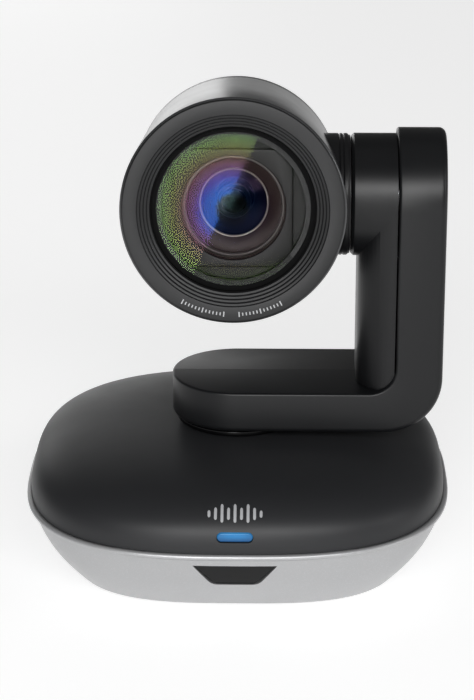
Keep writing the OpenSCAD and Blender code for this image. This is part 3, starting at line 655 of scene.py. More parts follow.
def stadium(shape: Shape, length: float, radius: float, steps: int) -> None:
    """Draws a closed outline with round ends about (0, 0) and (length, 0).

    Args:
        shape: the shape that takes the outline and its face.
        length: distance between the ends' centres.
        radius: radius of both ends.
        steps: edges in each round end.
    """
    bm = shape.bm
    for x, sign in ((length, -1.0), (0.0, 1.0)):
        start = bm.verts.new((x, sign * radius, 0.0))
        bmesh.ops.spin(
            bm, geom=[start], cent=(x, 0, 0), axis=(0, 0, 1), dvec=(0, 0, 0), angle=math.pi, steps=steps,
            use_merge=False, use_duplicate=False)
    bm.verts.ensure_lookup_table()
    for side in (-radius, radius):
        ends = sorted((v for v in bm.verts if abs(v.co.y - side) < WELD), key=lambda v: v.co.x)
        bm.edges.new((ends[0], ends[-1]))
    bmesh.ops.contextual_create(bm, geom=bm.edges[:])


def extruded(shape: Shape, step: Sequence[float]) -> Shape:
    """Gives a flat shape its thickness along step."""
    made = bmesh.ops.extrude_face_region(shape.bm, geom=shape.bm.faces[:])
    verts = [item for item in made["geom"] if isinstance(item, bmesh.types.BMVert)]
    bmesh.ops.translate(shape.bm, verts=verts, vec=step)
    return shape.welded()


# ---------------------------------------------------------------- base


@dataclass
class Base:
    """The silver lower shell, the domed cover and what shows on them."""

    points: int = 192
    rows: int = 26
    lip_power: float = 2.8
    foot_power: float = 3.15
    foot_half: float = 51.0 * MM
    floor: float = 0.8 * MM
    bulge: float = 0.13
    overhang: float = 1.2 * MM
    lip_band: float = 1.6 * MM
    wall: float = 2.7 * MM
    ledge_half: float = 41.3 * MM
    ledge_low: float = 3.2 * MM
    ledge_high: float = 5.6 * MM
    plate_half: float = 46.8 * MM
    cover_inset: float = 1.4 * MM
    cover_wall: float = 2.2 * MM
    hole: float = 14 * MM
    light_half: float = 5.25 * MM
    light_radius: float = 1.4 * MM
    crease: float = 0.3 * MM
    lip_corner: float = 0.78 * MM
    lip_groove: float = 0.6 * MM
    cover_ledge: float = 4.1 * MM
    cover_step: float = 0.35 * MM
    joint: float = 0.1 * MM
    window_margin: float = 0.15 * MM
    window_taper: float = 0.55
    window_corner: float = 1.6 * MM
    window_back: float = 30 * MM
    mark_at: Point = (-79.5 * MM, 33.7 * MM)
    mark_pitch: float = 1.9 * MM
    mark_bar: float = 0.42 * MM
    mark_heights: tuple[float, ...] = (0.7, 1.2, 1.8, 1.2, 1.8, 1.2, 1.8, 1.2, 0.7)
    lip_half: float = field(init=False)
    shallower: float = field(init=False)
    seat: float = field(init=False)
    top: float = field(init=False)
    dome_tree: BVHTree = field(init=False)

    def __post_init__(self) -> None:
        """Takes the outer sizes from the frame."""
        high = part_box("lower_shell")[1]
        self.lip_half = high.x
        self.shallower = high.x - high.y
        self.seat = high.z
        self.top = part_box("top_cover")[1].z

    def ring(self, half: float, height: float, power: float) -> Outline:
        """An outline of the base at a height, as deep as it is wide at the foot and less so at the lip."""
        share = max(0.0, half - self.foot_half) / (self.lip_half - self.foot_half)
        return half, half - self.shallower * share, height, power

    def rings(self, power: float, *places: Point) -> list[Outline]:
        """Outlines of one corner power at (half width, height) places."""
        return [self.ring(half, height, power) for half, height in places]

    def side(self, inset: float, start: float, end: float, rows: int) -> list[Outline]:
        """Outlines of the lower shell's bulging side.

        Args:
            inset: distance inwards from the outer face.
            start: share of the height of the first outline.
            end: share of the height of the last.
            rows: steps between them.

        Returns:
            The outlines in order.
        """
        reach = self.lip_half - self.overhang - self.foot_half
        rise = self.seat - self.lip_band - self.crease - self.floor
        outlines = []
        for row in range(rows + 1):
            share = start + (end - start) * row / rows
            half = self.foot_half + reach * (share + self.bulge * math.sin(math.pi * share)) - inset
            power = self.foot_power + (self.lip_power - self.foot_power) * share
            outlines.append(self.ring(half, self.floor + rise * share, power))
        return outlines

    def lip(self) -> list[Outline]:
        """Outlines of the rounded lip over its crease."""
        edge, corner, rim = self.lip_half, self.lip_corner, self.lip_half - self.cover_inset
        low, ledge = self.seat - self.lip_band, self.seat - self.cover_step
        groove = edge - self.overhang - self.lip_groove
        places = [(groove, low - self.crease), (groove, low)]
        for centre, angles in ((low + corner, (-75, -45, -15)), (self.seat - corner, (15, 45, 75, 90))):
            for angle in map(math.radians, angles):
                places.append((edge - corner + corner * math.cos(angle), centre + corner * math.sin(angle)))
        places += [(rim + 0.2 * MM, self.seat), (rim - 0.3 * MM, ledge), (edge - self.cover_ledge, ledge)]
        return self.rings(self.lip_power, *places)

    def window_prism(self) -> Shape:
        """Front-to-back prism of the remote control's window, a little larger than its pane."""
        low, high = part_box("remote_window")
        top, bottom = high.z + self.window_margin, low.z - self.window_margin
        wide = high.x + self.window_margin
        narrow = wide * self.window_taper
        shape = Shape()
        corners = ((-wide, top), (-narrow, bottom), (narrow, bottom), (wide, top))
        verts = [shape.bm.verts.new((x, -self.lip_half, z)) for x, z in corners]
        shape.bm.faces.new(verts)
        bmesh.ops.bevel(
            shape.bm, geom=[v for v in verts if v.co.z < low.z], offset=self.window_corner, affect="VERTICES",
            segments=5, profile=0.5, material=-1, offset_type="OFFSET", clamp_overlap=True)
        return extruded(shape, (0, self.lip_half - self.window_back, 0))

    def lower_shell(self) -> None:
        """The silver bowl with its lip, its window opening and its rear opening."""
        foot = self.rings(
            self.foot_power, (self.plate_half, self.floor), (self.foot_half - 0.5 * MM, self.floor))
        ledge = self.rings(
            self.foot_power, (self.ledge_half, self.ledge_high), (self.ledge_half, self.ledge_low),
            (self.plate_half, self.ledge_low))
        outside, inside = self.side(0.0, 0.025, 1.0, self.rows), self.side(self.wall, 0.96, 0.26, 10)
        bowl = Shape.lofted([*foot, *outside, *self.lip(), *inside, *ledge], self.points, closed=True)
        low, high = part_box("rear_panel")
        gap, deep = self.joint, 4 * MM
        rear = Shape.block(
            (low.x - gap, low.y - deep, low.z - gap), (high.x + gap, self.lip_half, high.z + gap))
        bowl.carved(self.window_prism(), rear)
        bowl.placed("silver_bowl", "base", Paint.BOWL, "silver_paint", "lower_shell")

    def crown(self, half: float, rise: float) -> list[Outline]:
        """Outlines of the dome, from its rim to its hole."""
        start = self.seat + self.joint
        last = math.acos((self.hole / half) ** 1.5)
        outlines = []
        for row in range(self.rows + 1):
            angle = last * (row / self.rows) ** 1.35
            part = math.cos(angle) ** (2 / 3)
            height = start + rise * math.sin(angle) ** (2 / 3)
            outlines.append(self.ring(half * part, height, 2 + (self.lip_power - 2) * part**2))
        return outlines

    def light_prism(self, gap: float, front: float, back: float) -> Shape:
        """Front-to-back prism with round ends, where the status light is.

        Args:
            gap: how much larger than the light it is.
            front: where it starts, along Y.
            back: where it ends.

        Returns:
            The prism.
        """
        low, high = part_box("status_light")
        radius = self.light_radius + gap
        span = 2 * (self.light_half - self.light_radius)
        shape = Shape()
        stadium(shape, span, radius, 24)
        extruded(shape, (0, 0, back - front))
        at = Matrix.Translation((-span / 2, front, (low.z + high.z) / 2))
        return shape.moved(at @ Matrix.Rotation(-QUARTER, 4, "X"))

    def cover(self) -> None:
        """The charcoal dome."""
        rise = self.top - self.seat - self.joint
        half = self.lip_half - self.cover_inset
        outer = self.crown(half, rise)
        inner = self.crown(half - self.cover_wall, rise - self.cover_wall)[::-1]
        dome = Shape.lofted([*outer, *inner], self.points, closed=True)
        self.dome_tree = BVHTree.FromBMesh(dome.bm)
        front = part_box("status_light")[0].y
        dome.carved(self.light_prism(0.12 * MM, front - 3 * MM, front + 8 * MM))
        dome.placed("dome_cover", "base", Paint.DOME, "charcoal_plastic", "top_cover")

    def light(self) -> None:
        """The blue light bar, with a rounded face."""
        low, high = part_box("status_light")
        bar = self.light_prism(0.0, low.y, high.y)
        bar.bevelled(0.45 * MM, 4, 60, lambda point: point.y < low.y + 0.2 * MM)
        glow = Glowing(
            "blue_light_pipe", (0.01, 0.05, 0.15), 0.25, coat=0.3, specular=0.2, glow=(0.02, 0.22, 0.46),
            strength=0.78, centre=(0.0, low.y, (low.z + high.z) / 2), half_height=self.light_radius)
        bar.placed("light_bar", "base", glow, "status_blue", "status_light")

    def window(self) -> None:
        """The gloss black window of the remote control's receiver."""
        pane = Shape.of_node("remote_window").bevelled(0.18 * MM, 2, 40)
        pane.placed("receiver_window", "base", Paint.GLOSS, "window_gloss", "remote_window", weighted=True)

    def mark(self) -> None:
        """A plain mark of upright bars printed on the front of the dome."""
        front, level = self.mark_at
        upright = Matrix.Rotation(QUARTER, 4, "X") @ Matrix.Rotation(QUARTER, 4, "Z")
        marks, bar, cuts = Shape(), self.mark_bar, 10
        for number, half in enumerate(self.mark_heights):
            piece, span = Shape(), 2 * (half * MM - bar)
            stadium(piece, span, bar, 8)
            for cut in range(1, cuts):
                piece.sliced((span * cut / cuts, 0, 0), (1, 0, 0))
            across = (number - (len(self.mark_heights) - 1) / 2) * self.mark_pitch
            piece.moved(Matrix.Translation((across, front, level - half * MM + bar)) @ upright)
            marks.join(piece)
        for vert in marks.bm.verts:
            hit, normal, _, _ = self.dome_tree.ray_cast(vert.co, Vector((0, 1, 0)))
            vert.co = hit + normal * 0.045 * MM
        extruded(marks, (0, -0.03 * MM, 0.01 * MM))
        marks.placed("dome_mark", "base", Paint.PRINT, "charcoal_plastic")

    def trims(self) -> None:
        """The plate, feet and connectors, with their edges broken."""
        rows = (
            ("foot_pads", 0.35, Paint.RUBBER, "rubber_black", "base_feet"),
            ("bottom_plate", 0.2, Paint.BLACK, "charcoal_plastic", "floor_plate"),
            ("base_screws", 0.12, Paint.SCREW, "screw_steel", "plate_screws"),
            ("tripod_insert", 0.2, Paint.BRASS, "insert_brass", "thread_insert"),
            ("rear_panel", 0.2, Paint.BLACK, "charcoal_plastic", "connector_panel"),
            ("power_jack", 0.12, Paint.BLACK, "component_black", "power_socket"),
            ("usb_socket", 0.1, Paint.STEEL, "plated_steel", "data_socket"),
            ("lock_plate", 0.12, Paint.STEEL, "plated_steel", "anchor_plate"),
        )
        for node, width, paint, slot, name in rows:
            shape = Shape.of_node(node).bevelled(width * MM, 2, 40)
            shape.placed(name, "base", paint, slot, node, weighted=True)

    def build(self) -> None:
        """Makes the whole base."""
        self.lower_shell()
        self.cover()
        self.light()
        self.window()
        self.mark()
        self.trims()


# ---------------------------------------------------------------- arm


@dataclass
class Arm:
    """The L-shaped arm: two half shells, the inner cover and the collar under it."""

    outer_radius: float = 17.5 * MM
    inner_radius: float = 8 * MM
    bend_start: float = 33 * MM
    bend_end: float = 70 * MM
    bend_rows: int = 48
    rim: float = 1.8 * MM
    inner_rim: float = 0.7 * MM
    draft: float = 0.05
    wall: float = 1.5 * MM
    seam: float = 0.05 * MM
    cover_radius: float = 18.5 * MM
    cover_corner: float = 11 * MM
    cover_wall: float = 1.8 * MM
    cover_step: float = 2.25 * MM
    window_radius: float = 16 * MM
    shaft_hole: float = 12.3 * MM
    cover_bore: float = 5.6 * MM
    cover_edge: float = 0.8 * MM
    collar_bore: float = 7.1 * MM
    joint: float = 0.1 * MM
    low: float = field(init=False)
    top: float = field(init=False)
    reach: float = field(init=False)
    upright: float = field(init=False)
    half: float = field(init=False)
    axis: float = field(init=False)

    def __post_init__(self) -> None:
        """Takes the arm's outer sizes from the frame."""
        low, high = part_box("arm_front_shell")
        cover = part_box("inner_cover")
        self.low = low.z
        self.half = -low.y
        self.reach = high.x
        self.axis = high.z - self.half
        self.top = cover[0].z - self.joint
        self.upright = cover[1].x + self.joint

    def track(self, floor: float, side: float, radius: float, share: float) -> Point:
        """A point on one of the arm's two bent faces.

        Args:
            floor: height of the face along the lower leg.
            side: X of the face along the upright.
            radius: radius of its bend.
            share: how far round the bend, from 0 to 1.

        Returns:
            X and Z of the point.
        """
        run = side - radius - self.bend_start
        rise = self.bend_end - floor - radius
        turn = radius * QUARTER
        way = share * (run + turn + rise)
        if way < run:
            return self.bend_start + way, floor
        if way < run + turn:
            angle = (way - run) / radius
            return side - radius + radius * math.sin(angle), floor + radius * (1 - math.cos(angle))
        return side, floor + radius + way - run - turn

    def bent(self, point: Vector, length: float, thick: float) -> Vector:
        """Carries a point of the flat bar on to the bent arm.

        Args:
            point: distance along, depth and height in the flat bar.
            length: flat length that is bent.
            thick: thickness of the flat bar.

        Returns:
            The point in the camera's frame.
        """
        across = abs(point.y) / self.half
        level = 0.5 + (point.z / thick - 0.5) * (1 - self.draft * across)
        share = min(1.0, max(0.0, (point.x - self.bend_start) / length))
        outer = Vector(self.track(self.low, self.reach, self.outer_radius, share))
        inner = Vector(self.track(self.top, self.upright, self.inner_radius, share))
        spot = outer.lerp(inner, level)
        if point.x < self.bend_start:
            spot.x = point.x
        if point.x > self.bend_start + length:
            spot.y = self.bend_end + point.x - self.bend_start - length
        return Vector((spot.x, point.y, spot.y))

    def bar(self, rounded: bool = True) -> Shape:
        """The whole bent bar as one solid, from a bevelled flat plate."""
        thick = self.top - self.low
        run = self.reach - self.outer_radius - self.bend_start
        rise = self.bend_end - self.low - self.outer_radius
        length = run + rise + self.outer_radius * QUARTER
        full = self.bend_start + length + self.axis - self.bend_end
        plate = Shape()
        stadium(plate, full, self.half, 40)
        extruded(plate, (0, 0, thick))
        if rounded:
            plate.bevelled(self.rim, 6, 60, lambda point: point.z < WELD)
            plate.bevelled(self.inner_rim, 4, 60, lambda point: point.z > thick - WELD)
        for row in range(self.bend_rows + 1):
            plate.sliced((self.bend_start + length * row / self.bend_rows, 0, 0), (1, 0, 0))
        for side in (-self.seam, self.seam):
            plate.sliced((0, side, 0), (0, 1, 0))
        for vert in plate.bm.verts:
            vert.co = self.bent(vert.co, length, thick)
        return plate.welded()

    def shells(self) -> None:
        """The front and rear half shells, parted by a fine seam."""
        bar = self.bar()
        near, far, radius = self.upright - 3 * MM, self.upright + 5 * MM, self.window_radius
        drill = plug(radius, near, far).moved(tilt_frame(self.axis))
        slot = Shape.block((near, -radius, self.top + self.inner_radius), (far, radius, self.axis))
        bore = plug(self.shaft_hole, self.low - 3 * MM, self.low + 5 * MM)
        for name, side, node in (("arm_front", 1, "arm_front_shell"), ("arm_rear", -1, "arm_rear_shell")):
            half = bar.copy().sliced((0, -side * self.seam, 0), (0, side, 0), clear=True)
            bmesh.ops.solidify(half.bm, geom=half.bm.faces[:], thickness=self.wall)
            half.carved(drill, slot, bore)
            half.placed(name, "arm", Paint.ARM, "arm_satin", node)
        bar.bm.free()

    def cover_form(self, inset: float) -> Shape:
        """The inner cover's outer form, or its hollow where inset."""
        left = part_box("inner_cover")[0].x
        right = self.upright - self.joint + (MM if inset else 0)
        face, radius = left + self.cover_step + inset, self.cover_radius - inset
        column = Shape.block((face, -radius, self.top + self.joint + inset), (right, radius, self.axis))
        corner = self.cover_corner - inset
        column.bevelled(corner, 14, 60, lambda p: p.x < face + WELD and abs(abs(p.y) - radius) < WELD)
        edge = 0 if inset else self.cover_edge
        boss = [(0, left + inset), (radius - edge, left + inset), (radius, left + inset + edge),
                (radius, right), (0, right)]
        return column.carved(Shape.turned(boss, closed=False).moved(tilt_frame(self.axis)), how="UNION")

    def inner_cover(self) -> None:
        """The cover on the head's side of the upright, hollow and open to the arm."""
        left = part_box("inner_cover")[0].x
        cover = self.cover_form(0.0)
        bore = plug(self.cover_bore, left - MM, left + 5 * MM).moved(tilt_frame(self.axis))
        cover.carved(self.bar(rounded=False), self.cover_form(self.cover_wall), bore)
        cover.placed("upright_cover", "arm", Paint.INNER, "arm_satin", "inner_cover")

    def collar(self) -> None:
        """The turned collar on which the arm pans."""
        low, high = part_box("arm_collar")
        radius, bore = (high.x - low.x) / 2, self.collar_bore
        profile = [(bore, low.z), (radius - 1.1 * MM, low.z), (radius - 0.5 * MM, low.z + 0.35 * MM),
                   (radius - 0.45 * MM, low.z + 0.6 * MM), (radius, low.z + 0.75 * MM), (radius, high.z),
                   (bore, high.z)]
        collar = Shape.turned(profile).bevelled(0.12 * MM, 2, 40)
        collar.placed("pan_collar", "arm", Paint.GLOSS, "charcoal_plastic", "arm_collar")

    def build(self) -> None:
        """Makes the whole arm."""
        self.shells()
        self.inner_cover()
        self.collar()


# ---------------------------------------------------------------- head


@dataclass
class Head:
    """The drum with its ring, glass and optics."""

    tilt: float = math.radians(8.6)
    centre: float = -0.9 * MM
    lens_radius: float = 15 * MM
    mask_half: float = 17.3 * MM
    second_radius: float = 10.1 * MM
    pupil_radius: float = 4.9 * MM
    wall: float = 1.8 * MM
    cap_round: float = 4 * MM
    cap_seam: float = 2.05 * MM
    cap_grooves: Point = (19 * MM, 24 * MM)
    funnel_wide: float = 5.3 * MM
    funnel_narrow: float = 1.6 * MM
    funnel_steps: int = 4
    face_drop: float = 0.5 * MM
    spigot_wall: float = 1.6 * MM
    tick_radius: float = 30.1 * MM
    tick_half: Point = (0.75 * MM, 0.17 * MM)
    tick_starts: Point = (241, 273.5)
    tick_count: int = 13
    tick_step: float = 2.0
    shaft_hole: float = 8.3 * MM
    mask_corner: float = 4.6 * MM
    stop_back: float = 10.2 * MM
    barrel_rows: int = 5
    hub_bore: float = 5.05 * MM
    axis: float = field(init=False)
    place: Matrix = field(init=False)

    def __post_init__(self) -> None:
        """Works out the lens axis: local Z runs back along it."""
        low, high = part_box("tilt_hub")
        self.axis = (low.z + high.z) / 2
        self.place = (
            Matrix.Translation((0, 0, self.axis)) @ Matrix.Rotation(-self.tilt, 4, "X")
            @ Matrix.Translation((self.centre, 0, 0)) @ Matrix.Rotation(-QUARTER, 4, "X"))

    def span(self, node: str) -> Place:
        """Front, back and radius of a CAD node about the lens axis."""
        inverse = self.place.inverted()
        depths = [(inverse @ vert.co).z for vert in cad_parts[node].data.vertices]
        low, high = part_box(node)
        return min(depths), max(depths), (high.x - low.x) / 2

    def turned(self, profile: Sequence[Point], closed: bool = True) -> Shape:
        """Turns a (radius, distance back) profile about the lens axis, still at the origin."""
        return Shape.turned(profile, 192, closed)

    def metal(self, name: str, colour: Colour, roughness: float, metallic: float, **looks: float) -> Turned:
        """A finish turned about the lens axis."""
        centre, axis = tuple(self.place.translation), tuple(self.place.to_3x3().col[2])
        return Turned(name, colour, roughness, metallic, centre=centre, axis=axis, **looks)

    def coated(
        self, name: str, colour: Colour, roughness: float, radius: float, front: float, **looks,
    ) -> Coated:
        """Coated glass whose hues run out from a point on the lens axis."""
        centre = tuple(self.place @ Vector((0, 0, front)))
        return Coated(name, colour, roughness, 1.0, centre=centre, radius=radius, **looks)

    def put(
        self, shape: Shape, name: str, paint: Paint | Finish, slot: str, *nodes: str, weighted: bool = False,
    ) -> bpy.types.Object:
        """Carries a shape on to the lens axis and places it on the head."""
        return shape.moved(self.place).placed(name, "head", paint, slot, *nodes, weighted=weighted)

    def ring(self) -> None:
        """The front ring: a flat face, a fluted funnel and a deep dark gap round the glass."""
        front, back, outer = self.span("front_ring")
        glass_front, glass_back, glass = self.span("cover_glass")
        drum_front = self.span("drum_shell")[0]
        rim, throat, steps = glass + self.funnel_wide, glass + self.funnel_narrow, self.funnel_steps
        join, drop = drum_front - 0.1 * MM, front + self.face_drop
        profile = [(outer, join), (outer, drop), (outer - 0.4 * MM, front + 0.1 * MM),
                   (rim + 0.25 * MM, front), (rim, drop)]
        depth = glass_front + 0.2 * MM - front - self.face_drop
        for step in range(steps):
            inner = rim + (throat - rim) * (step + 1) / steps
            level = drop + depth * step / steps
            profile += [(inner + 0.3 * MM, level + 0.12 * MM), (inner, level + depth / steps)]
        spigot, seat, lug = outer - self.spigot_wall, back - 2.4 * MM, glass - 1.4 * MM
        profile += [(throat, glass_back), (lug, glass_back), (lug, seat), (spigot - self.spigot_wall, seat),
                    (spigot - self.spigot_wall, back), (spigot, back), (spigot, join)]
        shape = self.turned(profile)
        shape.bevelled(0.12 * MM, 3, 30, lambda p: math.hypot(p.x, p.y) > outer - 0.6 * MM)
        shape.bevelled(0.07 * MM, 2, 30, lambda p: throat - 0.3 * MM < math.hypot(p.x, p.y) < rim + 0.5 * MM)
        finish = self.metal(
            "graphite_ring", (0.01, 0.0102, 0.0108), 0.42, 0.15, depth=0.0012, mottle=0.04, specular=0.35)
        self.put(shape, "lens_ring", finish, "ring_graphite", "front_ring")
        skin = 0.01 * MM
        wide, narrow, gap = throat - skin, throat - 0.12 * MM, glass + 0.05 * MM
        start, turn, end = glass_front - 0.15 * MM, glass_back - 0.3 * MM, glass_back - skin
        lining = [(wide, start), (narrow, start), (narrow, turn), (gap, turn), (gap, end), (wide, end)]
        self.put(self.turned(lining), "glass_gap", Paint.VOID, "ring_graphite")

    def ticks(self) -> None:
        """Two plain arcs of graduation marks printed on the ring's face."""
        front = self.span("front_ring")[0]
        radius, (length, width) = self.tick_radius, self.tick_half
        marks = Shape()
        for start in self.tick_starts:
            for number in range(self.tick_count):
                half = length if number % 6 == 0 else length * 0.6
                mark = Shape.block(
                    (radius - half, -width, front + 0.02 * MM), (radius + half, width, front + 0.2 * MM))
                mark.moved(Matrix.Rotation(-math.radians(start + number * self.tick_step), 4, "Z"))
                marks.join(mark)
        self.put(marks, "ring_ticks", Paint.PRINT, "ring_graphite")

    def drum(self) -> None:
        """The gunmetal drum, a trace narrower at the back, open where the tilt shaft goes in."""
        front, back, radius = self.span("drum_shell")
        back_radius = self.span("rear_cap")[2]
        profile = [(radius, front + 0.5 * MM), (back_radius, back), (back_radius - self.wall, back),
                   (radius - self.wall, front), (radius - 0.5 * MM, front)]
        shape = self.turned(profile).bevelled(0.2 * MM, 3, 20)
        hole = plug(self.shaft_hole, 5 * MM, 60 * MM).moved(tilt_frame(self.axis))
        shape.moved(self.place).carved(hole)
        finish = self.metal(
            "gunmetal_drum", (0.095, 0.096, 0.099), 0.3, 0.75, depth=0.0008, mottle=0.05, pitch=0.2 * MM)
        shape.placed("head_drum", "head", finish, "gunmetal_satin", "drum_shell")

    def cap(self) -> None:
        """The rear cap with a rounded edge, two fine rings and a spigot in the drum."""
        front, back, radius = self.span("rear_cap")
        corner, seam = self.cap_round, front + self.cap_seam
        spigot = radius - self.wall - 0.15 * MM
        profile = [(0, back)]
        for groove in self.cap_grooves:
            profile += [(groove - 0.35 * MM, back), (groove, back - 0.4 * MM), (groove + 0.35 * MM, back)]
        for step in range(13):
            angle = QUARTER * (1 - step / 12)
            across, up = corner * math.cos(angle), corner * math.sin(angle)
            profile.append((radius - corner + across, back - corner + up))
        inner, floor = spigot - self.wall, back - self.wall
        profile += [(radius, seam + 0.25 * MM), (radius - 0.25 * MM, seam), (spigot, seam), (spigot, front),
                    (inner, front), (inner, floor), (0, floor)]
        finish = Finish("gunmetal_cap", (0.075, 0.076, 0.079), 0.42, 0.4, depth=0.006)
        self.put(self.turned(profile, closed=False), "head_cap", finish, "gunmetal_satin", "rear_cap")

    def glass(self) -> None:
        """The coated cover glass."""
        front, back, radius = self.span("cover_glass")
        edge = 0.25 * MM
        profile = [(0, front), (radius - edge, front), (radius, front + edge), (radius, back), (0, back)]
        hues = (
            (0.0, (0.1, 0.12, 0.1)), (0.2, (0.1, 0.16, 0.14)), (0.24, (0.03, 0.24, 1.0)),
            (0.36, (0.04, 0.2, 0.9)), (0.44, (0.12, 0.12, 0.72)), (0.52, (0.22, 0.1, 0.36)),
            (0.63, (0.24, 0.11, 0.16)), (0.72, (0.2, 0.16, 0.06)), (0.82, (0.2, 0.24, 0.05)),
            (0.92, (0.2, 0.34, 0.09)), (1.0, (0.2, 0.34, 0.14)))
        coating = self.coated(
            "coated_cover_glass", (0.3, 0.4, 0.5), 0.02, radius, front, depth=0.00005, hues=hues, alpha=0.035)
        self.put(self.turned(profile, closed=False), "front_glass", coating, "coated_glass", "cover_glass")

    def mask(self) -> None:
        """The square baffle with cut corners behind the glass."""
        front, back, _ = self.span("lens_mask")
        half = self.mask_half
        plate = Shape.block((-half, -half, front), (half, half, back))
        plate.bevelled(self.mask_corner, 1, 60, lambda p: min(abs(p.x), abs(p.y)) > half - WELD)
        bore = plug(self.lens_radius + 0.2 * MM, front - MM, back + MM)
        plate.carved(bore).bevelled(0.35 * MM, 3, 40)
        finish = Finish("baffle_black", (0.006, 0.006, 0.0065), 0.45, depth=0.004, specular=0.25)
        self.put(plate, "square_baffle", finish, "component_black", "lens_mask")
        rim = self.span("cover_glass")[2] - 1.45 * MM
        eye, level = self.lens_radius + 1.9 * MM, back + 0.02 * MM
        disc = [(eye, level), (rim, level), (rim, level + 0.6 * MM), (eye, level + 0.6 * MM)]
        self.put(self.turned(disc), "round_baffle", finish, "component_black")

    def barrel(self) -> None:
        """The barrel with its stepped baffles, and the rings that hold the inner glass."""
        front, back, _ = self.span("lens_barrel")
        outer, bore, rows = self.lens_radius + 1.8 * MM, self.lens_radius, self.barrel_rows
        stop, throat, foot = front + self.stop_back, self.pupil_radius + MM, back - MM
        profile = [(outer, front), (outer, back), (throat, back), (throat, foot)]
        for row in range(rows):
            radius = throat + (self.second_radius - self.pupil_radius - MM) * (row + 1) / rows
            level = foot + (stop + 3 * MM - back + MM) * (row / rows + 1 / rows)
            profile += [(radius - 0.5 * MM, level + 0.6 * MM), (radius, level)]
        step = stop - 1.6 * MM
        profile += [(self.second_radius, stop + MM), (self.second_radius, stop), (bore - 1.6 * MM, step),
                    (bore, step), (bore, front)]
        # The dark reddish brown on this black barrel is a painted reflection of the lens coatings.
        finish = Finish("barrel_painted_coating_reflection", (0.012, 0.0045, 0.003), 0.38, 0.2, depth=0.004, specular=0.2)
        self.put(self.turned(profile), "optic_barrel", finish, "component_black", "lens_barrel")
        for name, radius, level, width, tint in (
            ("inner_glass_ring", self.second_radius, stop - 0.5 * MM, 0.35 * MM, (0.3, 0.27, 0.25)),
            ("pupil_ring", self.pupil_radius, stop + 2.2 * MM, 1.1 * MM, (0.11, 0.13, 0.115)),
        ):
            loop = [(radius - width, level), (radius, level - 0.2 * MM),
                    (radius + 0.2 * MM, level + 0.5 * MM), (radius - width, level + 0.6 * MM)]
            trim = Finish(name + "_finish", tint, 0.3, 0.7, depth=0.002)
            self.put(self.turned(loop).bevelled(0.05 * MM, 2, 30), name, trim, "ring_bronze")

    def dome_of(self, radius: float, front: float, back: float, bulge: float) -> Shape:
        """A lens element: a spherical front on a plain rim.

        Args:
            radius: radius of the rim.
            front: where the sphere is foremost.
            back: where the flat back is.
            bulge: height of the sphere's cap.

        Returns:
            The element, on the lens axis at the origin.
        """
        sphere = (radius**2 + bulge**2) / (2 * bulge)
        last = math.asin(radius / sphere)
        profile = [(0, back), (radius, back)]
        for step in range(20, -1, -1):
            angle = last * step / 20
            profile.append((sphere * math.sin(angle), front + sphere * (1 - math.cos(angle))))
        return self.turned(profile, closed=False)

    def elements(self) -> None:
        """The front lens, its retainer, and the inner glass and pupil behind it."""
        front, back, _ = self.span("front_lens")
        lens = self.dome_of(self.lens_radius, front, back, 4.6 * MM)
        hues = (
            (0.0, (0.2, 0.4, 0.3)), (0.4, (0.3, 0.25, 0.5)), (0.8, (0.5, 0.3, 0.4)), (1.0, (0.5, 0.4, 0.35)))
        coat = self.coated(
            "coated_front_lens", (0.4, 0.35, 0.4), 0.02, self.lens_radius, front, depth=0.00005, hues=hues,
            alpha=0.008)
        self.put(lens, "front_element", coat, "clear_glass", "front_lens")
        start, end, _ = self.span("lens_retainer")
        radius = self.lens_radius
        eye = radius - 0.9 * MM
        ring = self.turned([(radius, start), (radius - 0.55 * MM, start - 0.2 * MM), (eye, start + 0.4 * MM),
                            (eye, end), (radius, end)]).bevelled(0.08 * MM, 2, 30)
        trim = Finish("retainer_bronze", (0.24, 0.22, 0.21), 0.32, 0.8, depth=0.002)
        self.put(ring, "lens_retainer_ring", trim, "ring_bronze", "lens_retainer")
        stop = self.span("lens_barrel")[0] + self.stop_back
        inner = self.dome_of(self.second_radius - 0.4 * MM, stop + 0.3 * MM, stop + 1.6 * MM, 0.9 * MM)
        blue = self.coated(
            "coated_inner_glass", (0.25, 0.35, 0.5), 0.03, self.second_radius, stop, depth=0.0001,
            hues=((0.0, (0.2, 0.5, 0.4)), (0.5, (0.2, 0.3, 0.6)), (1.0, (0.4, 0.3, 0.5))), alpha=0.012)
        self.put(inner, "inner_element", blue, "clear_glass")
        pupil = self.dome_of(self.pupil_radius - 0.9 * MM, stop + 2.6 * MM, stop + 4 * MM, MM)
        # The pupil is opaque near-black glass with a green cast: painted shade deep in the lens, and a
        # painted green coating reflection.
        dark = Finish("pupil_painted_shade_and_reflection", (0.003, 0.01, 0.006), 0.06, coat=0.2, depth=0.0001)
        self.put(pupil, "pupil_element", dark, "clear_glass")

    def hub(self) -> None:
        """The tilt hub between drum and arm, with two fine rings."""
        low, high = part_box("tilt_hub")
        radius, end, bore, groove = (high.y - low.y) / 2, high.x, self.hub_bore, 0.3 * MM
        profile = [(bore, low.x), (radius, low.x)]
        for ring in (end - 3.4 * MM, end - 2.2 * MM):
            profile += [(radius, ring - groove), (radius - groove, ring), (radius, ring + groove)]
        profile += [(radius, end - 0.9 * MM), (radius - 0.5 * MM, end - 0.4 * MM), (radius - 0.5 * MM, end),
                    (bore, end)]
        shape = Shape.turned(profile, 160).bevelled(0.1 * MM, 2, 30).moved(tilt_frame(self.axis))
        front, back, _ = self.span("drum_shell")
        drum, narrow = (self.span(node)[2] + 0.02 * MM for node in ("drum_shell", "rear_cap"))
        inside = self.turned([(0, front), (drum, front), (narrow, back), (0, back)], closed=False)
        shape.carved(inside.moved(self.place))
        finish = Turned(
            "turned_black_hub", (0.006, 0.006, 0.0066), 0.36, specular=0.3, depth=0.001,
            centre=(0, 0, self.axis), axis=(1.0, 0.0, 0.0))
        shape.placed("tilt_boss", "head", finish, "arm_satin", "tilt_hub")

